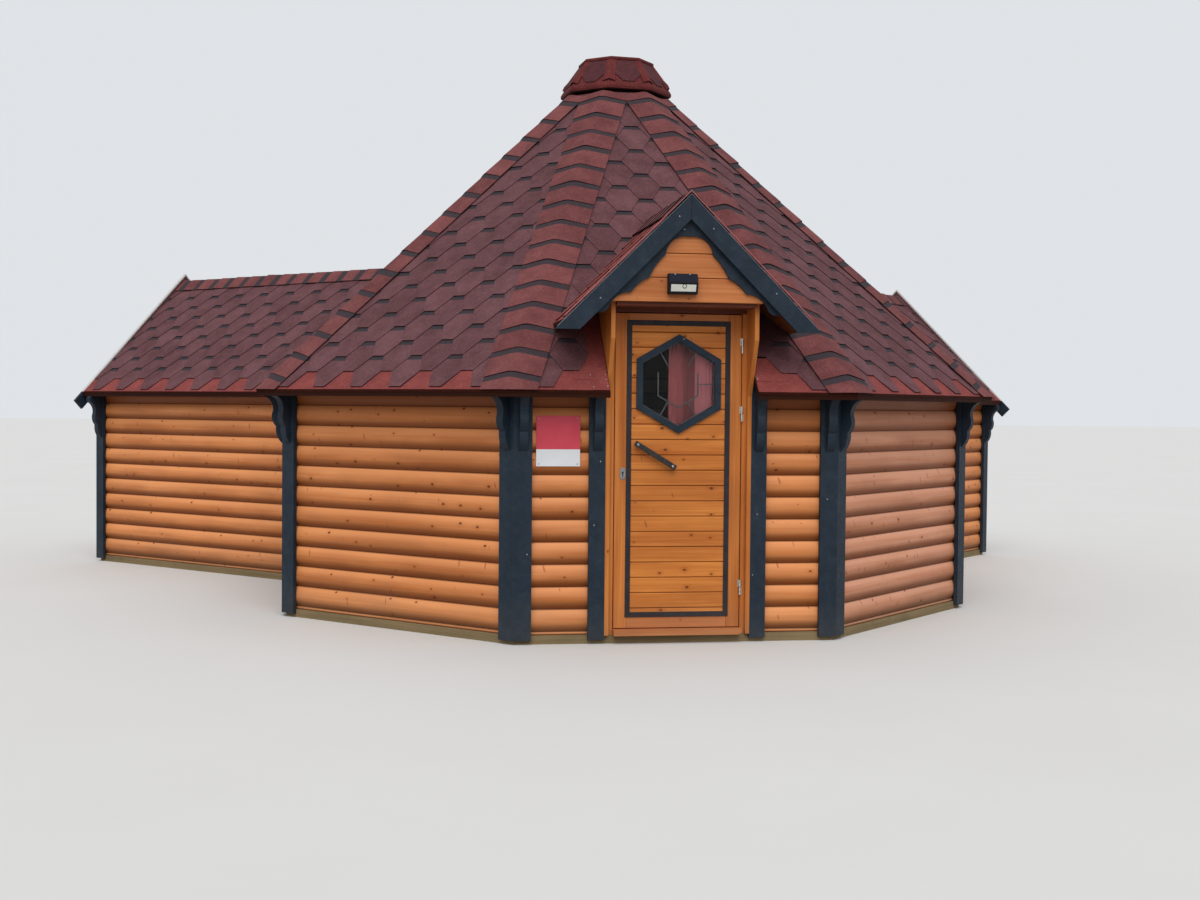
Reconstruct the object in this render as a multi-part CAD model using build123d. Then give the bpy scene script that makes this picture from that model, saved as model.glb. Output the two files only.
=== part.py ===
from build123d import *
import math
import os

# Eight-sided timber hut with a steep shingled roof and two gabled side rooms.
# Millimetres. The origin is the middle of the octagon on the ground, the door faces -Y.
# Pieces of one side are drawn at the front, across (x), out (towards -Y) and up, then turned
# about the middle by the angle of their side; a positive angle turns to the left.

# cutting shapes reach this far past what they cut; mirrored pieces that meet leave a hair joint
beyond = 500.0
past = 1.0
seam = 0.3

# the octagon, its base and floor
apothem = 2300.0
base_high = 50.0
base_wide = 95.0
joist_wide = 48.0
joist_step = 590.0
joist_seat = 40.0
room_joists = 3
floor_thick = 28.0
half_turn = 22.5
half_tan = math.tan(math.radians(half_turn))
side_half = apothem * half_tan
floor_top = base_high + floor_thick

# log walls
wall_thick = 58.0
log_pitch = 130.0
log_belly = 24.0
first_joint = 70.0
foot_belly = 6.0
shortest_log = 30.0
top_log_shy = 7.0
top_log_middle = 0.55
inner = apothem - wall_thick
opening_post_wide = 100.0
post_in = side_half - opening_post_wide

# roof of the octagon, every slope at 45 degrees
eave_out = 185.0
roof_thick = 28.0
eave_high = 1455.0
smoke_half = 300.0
ring_thick = 32.0
roof_out = apothem + eave_out
apex = eave_high + roof_out
roof_under = apex - roof_thick

# the smoke cowl
cowl_clear = 41.0
cowl_lip_high = 82.0
cowl_high = 285.0
cowl_rim = 383.0
cowl_lip = 352.0
cowl_top = 205.0
cowl_skin = 26.0
cowl_step = 60.0
cowl_pocket = 20.0
cowl_low = apex - cowl_rim + cowl_clear
lip_level = cowl_low + cowl_lip_high
step_level = lip_level + cowl_step
cowl_level = cowl_low + cowl_high

# the two side rooms, behind to the left and to the right; their roofs are a little flatter
room_long = 2470.0
room_eave_out = 137.0
room_end_out = 62.0
room_fall = 0.945
room_half = side_half
room_inner = room_half - wall_thick
room_end = apothem + room_long
room_roof_half = room_half + room_eave_out
room_roof_end = room_end + room_end_out
room_ridge = eave_high + room_fall * room_roof_half

# posts and brackets; a bracket's front is a wave through points at a share of its depth, some
# way below its nose
board_wide = 95.0
board_thick = 28.0
board_low = 25.0
board_gap = 12.0
bracket_out = 122.0
bracket_tall = 465.0
bracket_thick = 48.0
bracket_nose = 34.0
bracket_wave = ((0.60, 72.0), (0.50, 130.0), (0.54, 188.0), (0.34, 232.0))
bracket_heel = (0.28, 50.0)
bracket_shift = 6.0
room_bracket_shift = 20.0

# doorway
leaf_half = 375.0
leaf_low = 88.0
leaf_high = 1920.0
leaf_thick = 45.0
gap = 5.0
jamb_thick = 27.0
cheek_thick = 25.0
stop_wide = 20.0
stop_thick = 20.0
cheek_foot_out = 30.0
cheek_head_out = 180.0
cheek_bend_start = 475.0
cheek_bend_end = 155.0
head_high = 44.0
soffit_thick = 20.0
threshold_out = 60.0
jamb_half = leaf_half + gap
cheek_in = jamb_half + jamb_thick
cheek_out = cheek_in + cheek_thick
leaf_back = apothem - leaf_thick
stop_back = leaf_back - gap - stop_thick
stop_front = stop_back + stop_thick
head_low = leaf_high + gap
head_top = head_low + head_high
cheek_front_low = apothem + cheek_foot_out
cheek_front_high = apothem + cheek_head_out
cheek_bend_low = leaf_high - cheek_bend_start
cheek_bend_high = leaf_high - cheek_bend_end
threshold_front = apothem + threshold_out

# window of the door
window_drop = 408.0
window_outer = 289.0
window_hole = 254.0
window_inner = 247.0
window_proud = 15.0
window_proud_inside = 3.0
glass_thick = 6.0
window_centre = leaf_high - window_drop

# handle and lock, measured from the closing edge and the foot of the leaf
handle_start = (103.0, 1068.0)
handle_end = (345.0, 938.0)
handle_wide = 34.0
handle_thick = 12.0
handle_stand = 30.0
handle_post = 9.0
lock_place = (40.0, 908.0)
lock_wide = 33.0
lock_tall = 68.0
lock_thick = 6.0

# hinges, their middles measured from the foot of the leaf
hinge_places = (234.0, 1252.0, 1650.0)
hinge_tall = 88.0
hinge_radius = 6.5
hinge_out = 12.0
hinge_plate = 3.0
hinge_flap = 9.0
hinge_web = 4.0
pin_radius = 3.0
pin_play = 0.3
pin_up = 28.0
pin_room = 4.0
hinge_x = leaf_half + gap / 2
hinge_y = apothem + hinge_out

# the gable over the door; trim points are across and down from its ridge
gable_shoulder = 159.0
gable_gap = 2.0
gable_out = 245.0
gable_thick = 25.0
gable_lap = 5.0
gable_roof_half = 712.0
gable_tip_past = 42.0
barge_out = 55.0
barge_thick = 25.0
barge_deep = 140.0
barge_proud = 12.0
trim_thick = 18.0
trim_cusps = ((138.0, 326.0), (231.0, 456.0), (335.0, 541.0), (459.0, 624.0), (515.0, 658.0))
trim_swells = ((97.0, 247.0), (186.0, 379.0), (290.0, 492.0), (405.0, 560.0), (480.0, 650.0))
trim_peak = 222.0
room_barge_foot = 78.0
gable_low = head_top + gable_gap
gable_ridge = gable_low + gable_shoulder + cheek_out
gable_top = gable_ridge - roof_thick
gable_front = apothem + gable_out
gable_back = gable_front - gable_thick
barge_front = gable_front + barge_out
barge_back = barge_front - barge_thick

# lamp on the gable: a box with a lens leaning back below and a hood leaning back above
lamp_centre = -40.0
lamp_up = 43.0
lamp_wide = 169.0
lamp_high = 116.0
lamp_deep = 58.0
lamp_foot = 38.0
lamp_crown = 30.0
lamp_brow = 62.0
lamp_low = gable_low + lamp_up

# bare plate between the post of the corner and the post of the door
plate_gap_corner = 25.0
plate_gap_door = 51.0
plate_low = 1030.0
plate_high = 292.0
plate_thick = 4.0
plate_left = board_wide + plate_gap_corner - side_half
plate_right = -cheek_out - board_wide - plate_gap_door

LEFT, RIGHT = 135.0, -135.0


def turned(shape, angle):
    """The shape drawn at the front, turned to the side at this angle."""
    return Rot(0, 0, -angle) * shape


def mirrored(shape):
    return mirror(shape, about=Plane.YZ)


def across(points, low, high):
    """A profile of (out, up) corners drawn along the wall from low to high."""
    corners = [Vector(low, -out, up) for out, up in points]
    face = Face(Wire.make_polygon(corners, close=True))
    return extrude(face, amount=high - low, dir=(1, 0, 0))


def outward(points, near, far):
    """A shape of (across, up) corners drawn outward from near to far."""
    corners = [Vector(x, -near, up) for x, up in points]
    face = Face(Wire.make_polygon(corners, close=True))
    return extrude(face, amount=far - near, dir=(0, -1, 0))


def upright(points, low, high):
    """A plan of (across, out) corners drawn up from low to high."""
    corners = [Vector(x, -out, low) for x, out in points]
    face = Face(Wire.make_polygon(corners, close=True))
    return extrude(face, amount=high - low, dir=(0, 0, 1))


def block(x0, x1, near, far, low, high):
    """A box by its across, out and up limits."""
    return upright([(x0, near), (x1, near), (x1, far), (x0, far)], low, high)


def octagon_ring(half, level):
    """The corners of an octagon; half is the distance from the middle to a side."""
    radius = half / math.cos(math.radians(half_turn))
    turns = [math.radians(half_turn + 2 * half_turn * n) for n in range(8)]
    return [Vector(radius * math.sin(a), radius * math.cos(a), level) for a in turns]


def octagon(half, low, high):
    """An upright octagonal prism."""
    face = Face(Wire.make_polygon(octagon_ring(half, low), close=True))
    return extrude(face, amount=high - low, dir=(0, 0, 1))


def octagon_cone(low_half, low, high_half, high):
    """A cone of eight flat sides between two levels."""
    foot = octagon_ring(low_half, low)
    crown = octagon_ring(high_half, high)
    faces = [Face(Wire.make_polygon(ring, close=True)) for ring in (foot, crown)]
    for n in range(8):
        following = (n + 1) % 8
        corners = [foot[n], foot[following], crown[following], crown[n]]
        faces.append(Face(Wire.make_polygon(corners, close=True)))
    return Solid(Shell(faces))


def sector():
    """The space of one side of the octagon, between the planes through its corners."""
    reach = roof_out + beyond
    return upright([(0, 0), (reach * half_tan, reach), (-reach * half_tan, reach)], -past, apex + beyond)


def log_wall(out, low_x, high_x, top):
    """Half-round logs laid on the base frame; top(out) is the underside of the roof over the wall."""
    inside = out - wall_thick
    valley = out - log_belly
    levels = [base_high]
    joint = first_joint
    while joint < top(valley) - shortest_log:
        levels.append(joint)
        joint += log_pitch
    edges = []
    here = Vector(low_x, -valley, base_high)
    for low, high in zip(levels, levels[1:]):
        there = Vector(low_x, -valley, high)
        # the lowest log is sawn flat where it meets the frame
        belly = foot_belly if high - low < log_pitch else log_belly
        middle = Vector(low_x, -valley - belly, (low + high) / 2)
        edges.append(Edge.make_three_point_arc(here, middle, there))
        here = there
    last = Vector(low_x, -out, top(out))
    bulge = Vector(low_x, top_log_shy - out, here.Z + top_log_middle * (last.Z - here.Z))
    edges.append(Edge.make_three_point_arc(here, bulge, last))
    corner = Vector(low_x, -inside, top(inside))
    foot = Vector(low_x, -inside, base_high)
    edges.append(Edge.make_line(last, corner))
    edges.append(Edge.make_line(corner, foot))
    edges.append(Edge.make_line(foot, Vector(low_x, -valley, base_high)))
    return extrude(Face(Wire(edges)), amount=high_x - low_x, dir=(1, 0, 0))


def roof_level(out):
    return roof_under - out


def room_roof_level(out):
    return room_ridge - roof_thick - room_fall * out


def slope(ridge, half, fall, near, far):
    """One slope of a gabled roof running outward; across is measured from the ridge to the right."""
    eave = ridge - fall * half
    points = [(0, ridge), (half, eave), (half, eave - roof_thick), (0, ridge - roof_thick)]
    return outward(points, near, far)


def gable_space(ridge, half, fall, near, far):
    """The space under a gabled roof, down to the ground."""
    top = ridge - roof_thick
    eave = top - fall * half
    return outward([(-half, 0), (half, 0), (half, eave), (0, top), (-half, eave)], near, far)


def room_side(shape):
    """Drawn along the side room: across is along its length, out is away from its ridge to the left."""
    return Rot(0, 0, -90) * shape


parts = {}

# base frame and floor
base = octagon(apothem, 0, base_high) - octagon(apothem - base_wide, -past, base_high + past)
joist_space = octagon(apothem - base_wide / 2, 0, base_high)
for n in range(-3, 4):
    middle = n * joist_step
    joist = block(-apothem, apothem, middle - joist_wide / 2, middle + joist_wide / 2, 0, base_high)
    base += joist & joist_space
parts["base_frame"] = base
frame_in = room_half - base_wide
room_frame = block(-room_half, room_half, apothem, room_end, 0, base_high)
room_frame -= block(-frame_in, frame_in, apothem - past, room_end - base_wide, -past, base_high + past)
for n in range(1, room_joists + 1):
    along = apothem + n * room_long / (room_joists + 1)
    room_frame += block(-frame_in - joist_seat, frame_in + joist_seat, along - joist_wide / 2,
                        along + joist_wide / 2, 0, base_high)
room_floor = upright([(-post_in, inner), (post_in, inner), (post_in, apothem), (room_inner, apothem),
                      (room_inner, room_end - wall_thick), (-room_inner, room_end - wall_thick),
                      (-room_inner, apothem), (-post_in, apothem)], base_high, floor_top)
parts["floor"] = octagon(inner, base_high, floor_top)
parts["floor"] -= block(-cheek_out, cheek_out, stop_back, apothem, 0, floor_top + past)
parts["room_base_frames"] = [turned(room_frame, a) for a in (LEFT, RIGHT)]
parts["room_floors"] = [turned(room_floor, a) for a in (LEFT, RIGHT)]

# walls of the octagon, mitred at its corners
wall_reach = side_half + beyond
full_wall = log_wall(apothem, -wall_reach, wall_reach, roof_level) & sector()
parts["front_left_wall"] = turned(full_wall, 45)
parts["front_right_wall"] = turned(full_wall, -45)
parts["side_walls"] = [turned(full_wall, 90), turned(full_wall, -90)]
parts["back_wall"] = turned(full_wall, 180)
front_half_wall = log_wall(apothem, cheek_out, wall_reach, roof_level) & sector()
parts["front_walls"] = [front_half_wall, mirrored(front_half_wall)]

# posts at both sides of the wide openings to the side rooms
mitre = inner * half_tan
opening_post = upright([(post_in, inner), (mitre, inner), (side_half, apothem), (post_in, apothem)],
                       base_high, room_roof_level(side_half) - board_gap)
parts["opening_posts"] = [turned(p, a) for a in (LEFT, RIGHT) for p in (opening_post, mirrored(opening_post))]

# walls of the side rooms
room_wall = room_side(log_wall(room_half, apothem, room_end, room_roof_level))
opposite_wall = mirrored(room_wall)
end_logs = log_wall(room_end, -room_inner, room_inner, lambda out: room_ridge + wall_thick)
end_wall = end_logs & gable_space(room_ridge, room_inner, room_fall, room_end - wall_thick - past, room_end + past)
parts["room_front_walls"] = [turned(opposite_wall, LEFT), turned(room_wall, RIGHT)]
parts["room_back_walls"] = [turned(room_wall, LEFT), turned(opposite_wall, RIGHT)]
parts["room_end_walls"] = [turned(end_wall, a) for a in (LEFT, RIGHT)]

# roof of the octagon, opened under the roofs of the side rooms and under the gable
panel = across([(smoke_half, apex - smoke_half), (roof_out, eave_high), (roof_out, eave_high - roof_thick),
                (smoke_half, roof_under - smoke_half)], -wall_reach, wall_reach) & sector()
room_space = gable_space(room_ridge, room_roof_half, room_fall, smoke_half, room_roof_end)
left_space = turned(room_space, LEFT)
right_space = turned(room_space, RIGHT)
door_space = gable_space(gable_ridge, cheek_out, 1.0, smoke_half, roof_out + beyond)
parts["roof_front"] = panel - door_space
parts["roof_front_left"] = turned(panel, 45)
parts["roof_front_right"] = turned(panel, -45)
parts["roof_left"] = turned(panel, 90) - left_space
parts["roof_right"] = turned(panel, -90) - right_space
parts["roof_back_left"] = turned(panel, LEFT) - left_space
parts["roof_back_right"] = turned(panel, RIGHT) - right_space
parts["roof_back"] = turned(panel, 180) - left_space - right_space

# smoke opening and cowl
ring = octagon(smoke_half, roof_under - smoke_half, step_level)
parts["smoke_ring"] = ring - octagon(smoke_half - ring_thick, roof_under - smoke_half - past, step_level + past)
cowl = octagon_cone(cowl_rim, cowl_low, cowl_lip, lip_level)
cowl += octagon_cone(cowl_lip, lip_level, cowl_top, cowl_level)
cowl -= octagon_cone(cowl_rim - cowl_skin, cowl_low - past, smoke_half, lip_level - cowl_pocket)
cowl -= octagon(smoke_half, lip_level - cowl_pocket - past, step_level)
cowl -= octagon_cone(smoke_half - ring_thick, step_level - past, cowl_top - cowl_skin, cowl_level - cowl_skin)
parts["smoke_cowl"] = cowl

# roofs of the side rooms, cut to lie on the roof of the octagon
pyramid = octagon_cone(roof_out, eave_high, cowl_skin, apex - cowl_skin) + octagon(roof_out, 0, eave_high)
room_slope = slope(room_ridge, room_roof_half, room_fall, smoke_half, room_roof_end)
left_slope = mirrored(room_slope)
parts["room_roofs_front"] = [turned(room_slope, LEFT) - pyramid, turned(left_slope, RIGHT) - pyramid]
parts["room_roofs_back"] = [turned(left_slope, LEFT) - pyramid, turned(room_slope, RIGHT) - pyramid]

# the gable over the door
gable_slope = slope(gable_ridge, gable_roof_half, 1.0, smoke_half, barge_back)
gable_slope -= across([(0, 0), (apex, 0), (0, apex)], -wall_reach, wall_reach)
gable_slope -= block(-seam, seam, 0, barge_front, 0, apex)
parts["gable_roof"] = [gable_slope, mirrored(gable_slope)]
board_half = cheek_out + gable_lap
parts["gable_board"] = outward([(-board_half, gable_low), (board_half, gable_low), (board_half, gable_top - board_half),
                                (0, gable_top), (-board_half, gable_top - board_half)], gable_back, gable_front)


def barge(ridge, near, far, points):
    """A board under the end of a slope; points are its lower corners as (across, up)."""
    top = ridge + barge_proud - seam
    return outward([(seam, top), *points, (seam, top - barge_deep)], near, far)


# the bargeboards of the gable are sawn level at their tips, those of the rooms square
tip = gable_ridge - gable_roof_half - gable_tip_past
tip_reach = gable_ridge + barge_proud - tip
gable_barge = barge(gable_ridge, barge_back, barge_front, [(tip_reach, tip), (tip_reach - barge_deep, tip)])
parts["gable_bargeboards"] = [gable_barge, mirrored(gable_barge)]
room_barge_ridge = eave_high + room_roof_half
foot_reach = room_roof_half + room_barge_foot
foot_level = room_barge_ridge + barge_proud - foot_reach
room_barge = barge(room_barge_ridge, room_roof_end, room_roof_end + barge_thick,
                   [(foot_reach, foot_level), (foot_reach - barge_deep / 2, foot_level - barge_deep / 2)])
parts["room_bargeboards"] = [turned(b, a) for a in (LEFT, RIGHT) for b in (room_barge, mirrored(room_barge))]


def waved_trim():
    """The waved board behind a bargeboard: an arch under the ridge, then waves down the slope."""
    def at(x, drop):
        return Vector(x, -gable_front, gable_ridge - drop)
    start = at(seam, roof_thick + 2 * seam)
    foot = trim_cusps[-1][1]
    end = at(foot - roof_thick - seam, foot)
    here = at(seam, trim_peak)
    edges = [Edge.make_line(start, here)]
    for (x, drop), (swell_x, swell_drop) in zip(trim_cusps, trim_swells):
        there = at(x, drop)
        edges.append(Edge.make_three_point_arc(here, at(swell_x, swell_drop), there))
        here = there
    edges.append(Edge.make_line(here, end))
    edges.append(Edge.make_line(end, start))
    return extrude(Face(Wire(edges)), amount=trim_thick, dir=(0, -1, 0))


trim = waved_trim()
parts["gable_trims"] = [trim, mirrored(trim)]

# cheeks beside the doorway, reaching out under the gable and back to the roof of the octagon
cheek_top = gable_top - cheek_out
cheek = across([(inner, base_high), (cheek_front_low, base_high), (cheek_front_low, cheek_bend_low),
                (cheek_front_high, cheek_bend_high), (cheek_front_high, gable_low), (gable_back, gable_low),
                (gable_back, cheek_top), (roof_under - cheek_top, cheek_top), (inner, roof_level(inner))],
               cheek_in, cheek_out)
parts["door_cheeks"] = [cheek, mirrored(cheek)]

# door frame: jambs and head with a stop behind the leaf, and the soffit board under the gable
jamb = block(jamb_half, cheek_in, stop_back, apothem, base_high, head_low)
jamb += block(jamb_half - stop_wide, jamb_half, stop_back, stop_front, base_high, head_low)
parts["door_jambs"] = [jamb, mirrored(jamb)]
stop_half = jamb_half - stop_wide
head = block(-cheek_in, cheek_in, stop_back, apothem, head_low, head_top)
head += block(-stop_half, stop_half, stop_back, stop_front, head_low - stop_wide, head_low)
head += block(-cheek_in, cheek_in, apothem, gable_back, head_top - soffit_thick, head_top)
parts["door_head"] = head
threshold_top = leaf_low - gap
threshold = block(-stop_half, stop_half, stop_back, apothem, base_high, threshold_top)
threshold += block(-jamb_half, jamb_half, stop_front, threshold_front, base_high, threshold_top)
parts["threshold"] = threshold

# posts at the corners: two boards that meet on the corner
board_high = roof_level(apothem + board_thick) - board_gap
room_board_high = room_roof_level(room_half + board_thick) - board_gap
half_board = block(side_half - board_wide, side_half + board_thick, apothem, apothem + board_thick, board_low,
                   board_high) & sector()
left_half_board = mirrored(half_board)
corner = half_board + turned(left_half_board, -45)
end_board = block(-room_half - board_thick, -room_half + board_wide - board_thick, room_end, room_end + board_thick,
                  board_low, room_board_high)
side_board = block(-room_half - board_thick, -room_half, room_end - board_wide + board_thick, room_end,
                   board_low, room_board_high)
room_corner = end_board + side_board
posts = [turned(corner, a) for a in (0, 45, 90, -45)]
posts += [turned(left_half_board, 90), turned(half_board, -90)]
posts += [turned(half_board, 180), turned(left_half_board, 180)]
posts += [turned(p, a) for a in (LEFT, RIGHT) for p in (room_corner, mirrored(room_corner))]
parts["corner_posts"] = posts
door_post = block(cheek_out, cheek_out + board_wide, apothem, apothem + board_thick, board_low, board_high)
parts["door_posts"] = [door_post, mirrored(door_post)]


def bracket(middle, out, under, fall):
    """A scalloped bracket on a board, its top cut to the slope of the roof above it."""
    back = out + board_thick
    front = back + bracket_out
    x = middle - bracket_thick / 2
    nose_level = under - fall * front
    low = under - fall * back - bracket_tall

    def wave(share, level):
        return Vector(x, -(back + share * bracket_out), level)
    top_back = wave(0.0, under - fall * back)
    top_front = wave(1.0, nose_level)
    nose = wave(1.0, nose_level - bracket_nose)
    points = [wave(share, nose_level - drop) for share, drop in bracket_wave]
    heel = wave(bracket_heel[0], low + bracket_heel[1])
    foot = wave(0.0, low)
    edges = [Edge.make_line(top_back, top_front), Edge.make_line(top_front, nose),
             Edge.make_three_point_arc(nose, points[0], points[1]),
             Edge.make_three_point_arc(points[1], points[2], points[3]),
             Edge.make_three_point_arc(points[3], heel, foot), Edge.make_line(foot, top_back)]
    return extrude(Face(Wire(edges)), amount=bracket_thick, dir=(1, 0, 0))


corner_bracket = bracket(side_half - board_wide / 2 + bracket_shift, apothem, roof_under, 1.0)
door_bracket = bracket(cheek_out + board_wide / 2, apothem, roof_under, 1.0)
room_bracket = room_side(bracket(room_end - board_wide / 2 + room_bracket_shift, room_half,
                                 room_ridge - roof_thick, room_fall))
brackets = [turned(b, a) for a in (0, 45, -45, 90, -90) for b in (corner_bracket, mirrored(corner_bracket))]
brackets += [door_bracket, mirrored(door_bracket)]
brackets += [turned(b, a) for a in (LEFT, RIGHT) for b in (room_bracket, mirrored(room_bracket))]
parts["brackets"] = brackets

# lamp and bare plate
lamp_profile = [(0, 0), (lamp_foot, 0), (lamp_deep, lamp_brow), (lamp_crown, lamp_high), (0, lamp_high)]
parts["porch_lamp"] = across([(gable_front + out, lamp_low + up) for out, up in lamp_profile],
                             lamp_centre - lamp_wide / 2, lamp_centre + lamp_wide / 2)
parts["wall_plate"] = block(plate_left, plate_right, apothem, apothem + plate_thick, plate_low, plate_low + plate_high)


def hexagon(radius, near, far):
    """A six-sided piece standing on a corner, round the middle of the window."""
    turns = [math.radians(60.0 * n) for n in range(6)]
    return outward([(radius * math.sin(a), window_centre + radius * math.cos(a)) for a in turns], near, far)


# the door leaf and what it carries
leaf = block(-leaf_half, leaf_half, leaf_back, apothem, leaf_low, leaf_high)
parts["door_leaf"] = leaf - hexagon(window_hole, leaf_back - past, apothem + past)
frame_front = apothem + window_proud
frame_back = leaf_back - window_proud_inside
window_space = hexagon(window_inner, frame_back - past, frame_front + past)
parts["door_window_frame"] = [hexagon(window_outer, apothem, frame_front) - window_space,
                              hexagon(window_outer, frame_back, leaf_back) - window_space]
glass_back = apothem - leaf_thick / 2
parts["door_glass"] = hexagon(window_hole, glass_back, glass_back + glass_thick)


def on_leaf(place, out):
    """A plane facing outward at a place measured from the closing edge and the foot of the leaf."""
    return Plane(origin=(place[0] - leaf_half, -out, place[1] + leaf_low), x_dir=(1, 0, 0), z_dir=(0, -1, 0))


def strap_handle():
    """A slanted flat bar on two round stand-offs."""
    run = handle_end[0] - handle_start[0]
    rise = handle_end[1] - handle_start[1]
    middle = ((handle_start[0] + handle_end[0]) / 2, (handle_start[1] + handle_end[1]) / 2)
    tilt = math.degrees(math.atan2(rise, run))
    slot = SlotCenterToCenter(math.hypot(run, rise), handle_wide)
    bar = extrude(on_leaf(middle, apothem + handle_stand) * Rot(0, 0, tilt) * slot, amount=handle_thick)
    for place in (handle_start, handle_end):
        bar += extrude(on_leaf(place, apothem) * Circle(handle_post), amount=handle_stand)
    return bar


lock = extrude(on_leaf(lock_place, apothem) * Rot(0, 0, 90) * SlotOverall(lock_tall, lock_wide), amount=lock_thick)
parts["door_handle"] = [strap_handle(), lock]


def upright_pin(radius, low, high):
    plane = Plane(origin=(hinge_x, -hinge_y, low), x_dir=(1, 0, 0), z_dir=(0, 0, 1))
    return extrude(plane * Circle(radius), amount=high - low)


def leaf_knuckle(low, high):
    """The upper half of a hinge, bored from below for the pin; it turns with the leaf."""
    half = upright_pin(hinge_radius, low, high)
    half += block(leaf_half - hinge_flap, leaf_half, apothem, apothem + hinge_plate, low, high)
    half += block(leaf_half - hinge_web, leaf_half, apothem + hinge_plate / 2, hinge_y, low, high)
    return half - upright_pin(pin_radius + pin_play, low - past, low + pin_up + pin_room)


def jamb_knuckle(low, high):
    """The lower half of a hinge, with the pin standing up from it."""
    half = upright_pin(hinge_radius, low, high)
    half += block(jamb_half, jamb_half + hinge_flap, apothem, apothem + hinge_plate, low, high)
    half += block(jamb_half, jamb_half + hinge_web, apothem + hinge_plate / 2, hinge_y, low, high)
    return half + upright_pin(pin_radius, high - past, high + gap + pin_up)


hinge_levels = [leaf_low + place for place in hinge_places]
knuckle = (hinge_tall - gap) / 2
parts["door_hinges"] = [leaf_knuckle(h + gap / 2, h + gap / 2 + knuckle) for h in hinge_levels]
parts["jamb_hinges"] = [jamb_knuckle(h - gap / 2 - knuckle, h - gap / 2) for h in hinge_levels]

os.makedirs("parts", exist_ok=True)
for name, shape in parts.items():
    pieces = shape if isinstance(shape, list) else [shape]
    solids = [solid for piece in pieces for solid in piece.solids()]
    export_step(solids[0] if len(solids) == 1 else Compound(children=solids), "parts/" + name + ".step")
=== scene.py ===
import math
import random

import bmesh
import bpy
from mathutils import Matrix, Vector


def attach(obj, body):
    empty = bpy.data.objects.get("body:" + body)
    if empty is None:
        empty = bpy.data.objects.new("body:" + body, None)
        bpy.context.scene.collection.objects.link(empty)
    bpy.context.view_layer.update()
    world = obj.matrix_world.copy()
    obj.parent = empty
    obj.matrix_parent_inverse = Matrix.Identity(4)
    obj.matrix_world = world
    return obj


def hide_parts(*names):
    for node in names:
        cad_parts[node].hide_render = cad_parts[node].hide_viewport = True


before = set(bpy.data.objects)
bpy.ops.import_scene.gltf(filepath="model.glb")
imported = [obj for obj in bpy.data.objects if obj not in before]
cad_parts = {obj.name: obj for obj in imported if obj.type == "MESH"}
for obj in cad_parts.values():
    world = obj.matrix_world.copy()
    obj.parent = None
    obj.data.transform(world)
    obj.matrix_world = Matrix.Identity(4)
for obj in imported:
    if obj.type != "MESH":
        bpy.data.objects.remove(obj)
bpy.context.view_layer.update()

# Eight-sided log hut: looks, roof tiles, boards, leaded window, curtain and small fittings.
# Metres. x to the right, the door faces -y, z up. A side is named by its angle, positive to the left.

chance = random.Random(7)

# sizes shared with the solids
TAN = math.tan(math.radians(22.5))
REACH = 1.0 / math.cos(math.radians(22.5))
ROOT = math.sqrt(2.0)
LEFT, RIGHT = 135.0, -135.0
APOTHEM = 2.300
EAVE_OUT, EAVE_HIGH = 2.485, 1.455
APEX = EAVE_HIGH + EAVE_OUT
SLAB = 0.028
COWL_OUT = 0.350
ROOM_FALL = 0.945
ROOM_STRETCH = math.hypot(1.0, ROOM_FALL)
ROOM_HALF = APOTHEM * TAN + 0.137
ROOM_RIDGE = EAVE_HIGH + ROOM_FALL * ROOM_HALF
ROOM_OUT = 4.832
GABLE_RIDGE, GABLE_HALF, GABLE_LOW = 2.562, 0.712, 1.971
GABLE_FRONT, GABLE_OUT = 2.545, 2.600
BARGE_THICK, BARGE_PROUD = 0.025, 0.012
CHEEK = 0.432
BOARD_THICK = 0.028
LOG_FIRST, LOG_PITCH = 0.070, 0.130
BOARD_JOINT, BOARD_PITCH = 1.5444, 0.0894

# roof covering
TAB_PITCH, TAB_STEP = 0.322, 0.1355
TAB_FLAT, TAB_THICK, TAB_BAND, TAB_LAP, TAB_UNEVEN = 0.047, 0.004, 0.034, 0.020, 0.0012
TAB_NARROW, TAB_PAST = 0.014, 0.010
FIRST_TAB, STARTER_FROM, STARTER_TO = 0.033, 0.016, 1.35
ROOM_TILED, GABLE_TILED = 3.6, 1.6
CAP_HIDDEN, CAP_THICK, CAP_BEND = 0.080, 0.004, 0.026
CAP_UNEVEN, CAP_ASKEW, CAP_SHIFT, CAP_BULGE, CAP_LEAST = 0.0015, 0.025, 0.005, 0.006, 0.004
FIRST_HIP, FIRST_RIDGE, FIRST_GABLE = 0.156, 0.117, 0.150
HIP_SIZES, RIDGE_SIZES = (0.208, 0.046, 0.172), (0.202, 0.070, 0.145)

# looks: shade below the eaves, splashes near the ground, dark print of the tiles, foot of the plate
SHADE_LOW, SHADE_HIGH = 1.31, 1.42
SPLASH = 0.30
PRINT = (44, 42, 47)
PLATE_FOOT = 1.128
WEAVE, LENS_RIBS = 2600.0, 900.0

# curtain: distance between folds, a fold's crest, where the cloth laps over itself, and the band of
# painted shade below the rod
FOLD_WIDE, FOLD_CREST, FOLD_HEM = 0.200, -0.017, 0.112
ROD_SHADE_LOW, ROD_SHADE_HIGH = 1.58, 1.76


def colour(red, green, blue):
    """A colour as seen on a screen, 0 to 255, in the linear values of a shader."""
    shares = (value / 255.0 for value in (red, green, blue))
    return (*(s / 12.92 if s <= 0.04045 else ((s + 0.055) / 1.055) ** 2.4 for s in shares), 1.0)


def sign(operation, swapped=False):
    """What an operator does between two values or two vectors: it adds a node."""
    def build(self, other):
        pair = (other, self) if swapped else (self, other)
        count = self.web.vector if self.socket.type == "VECTOR" else self.web.math
        return count(operation, *pair)
    return build


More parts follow.
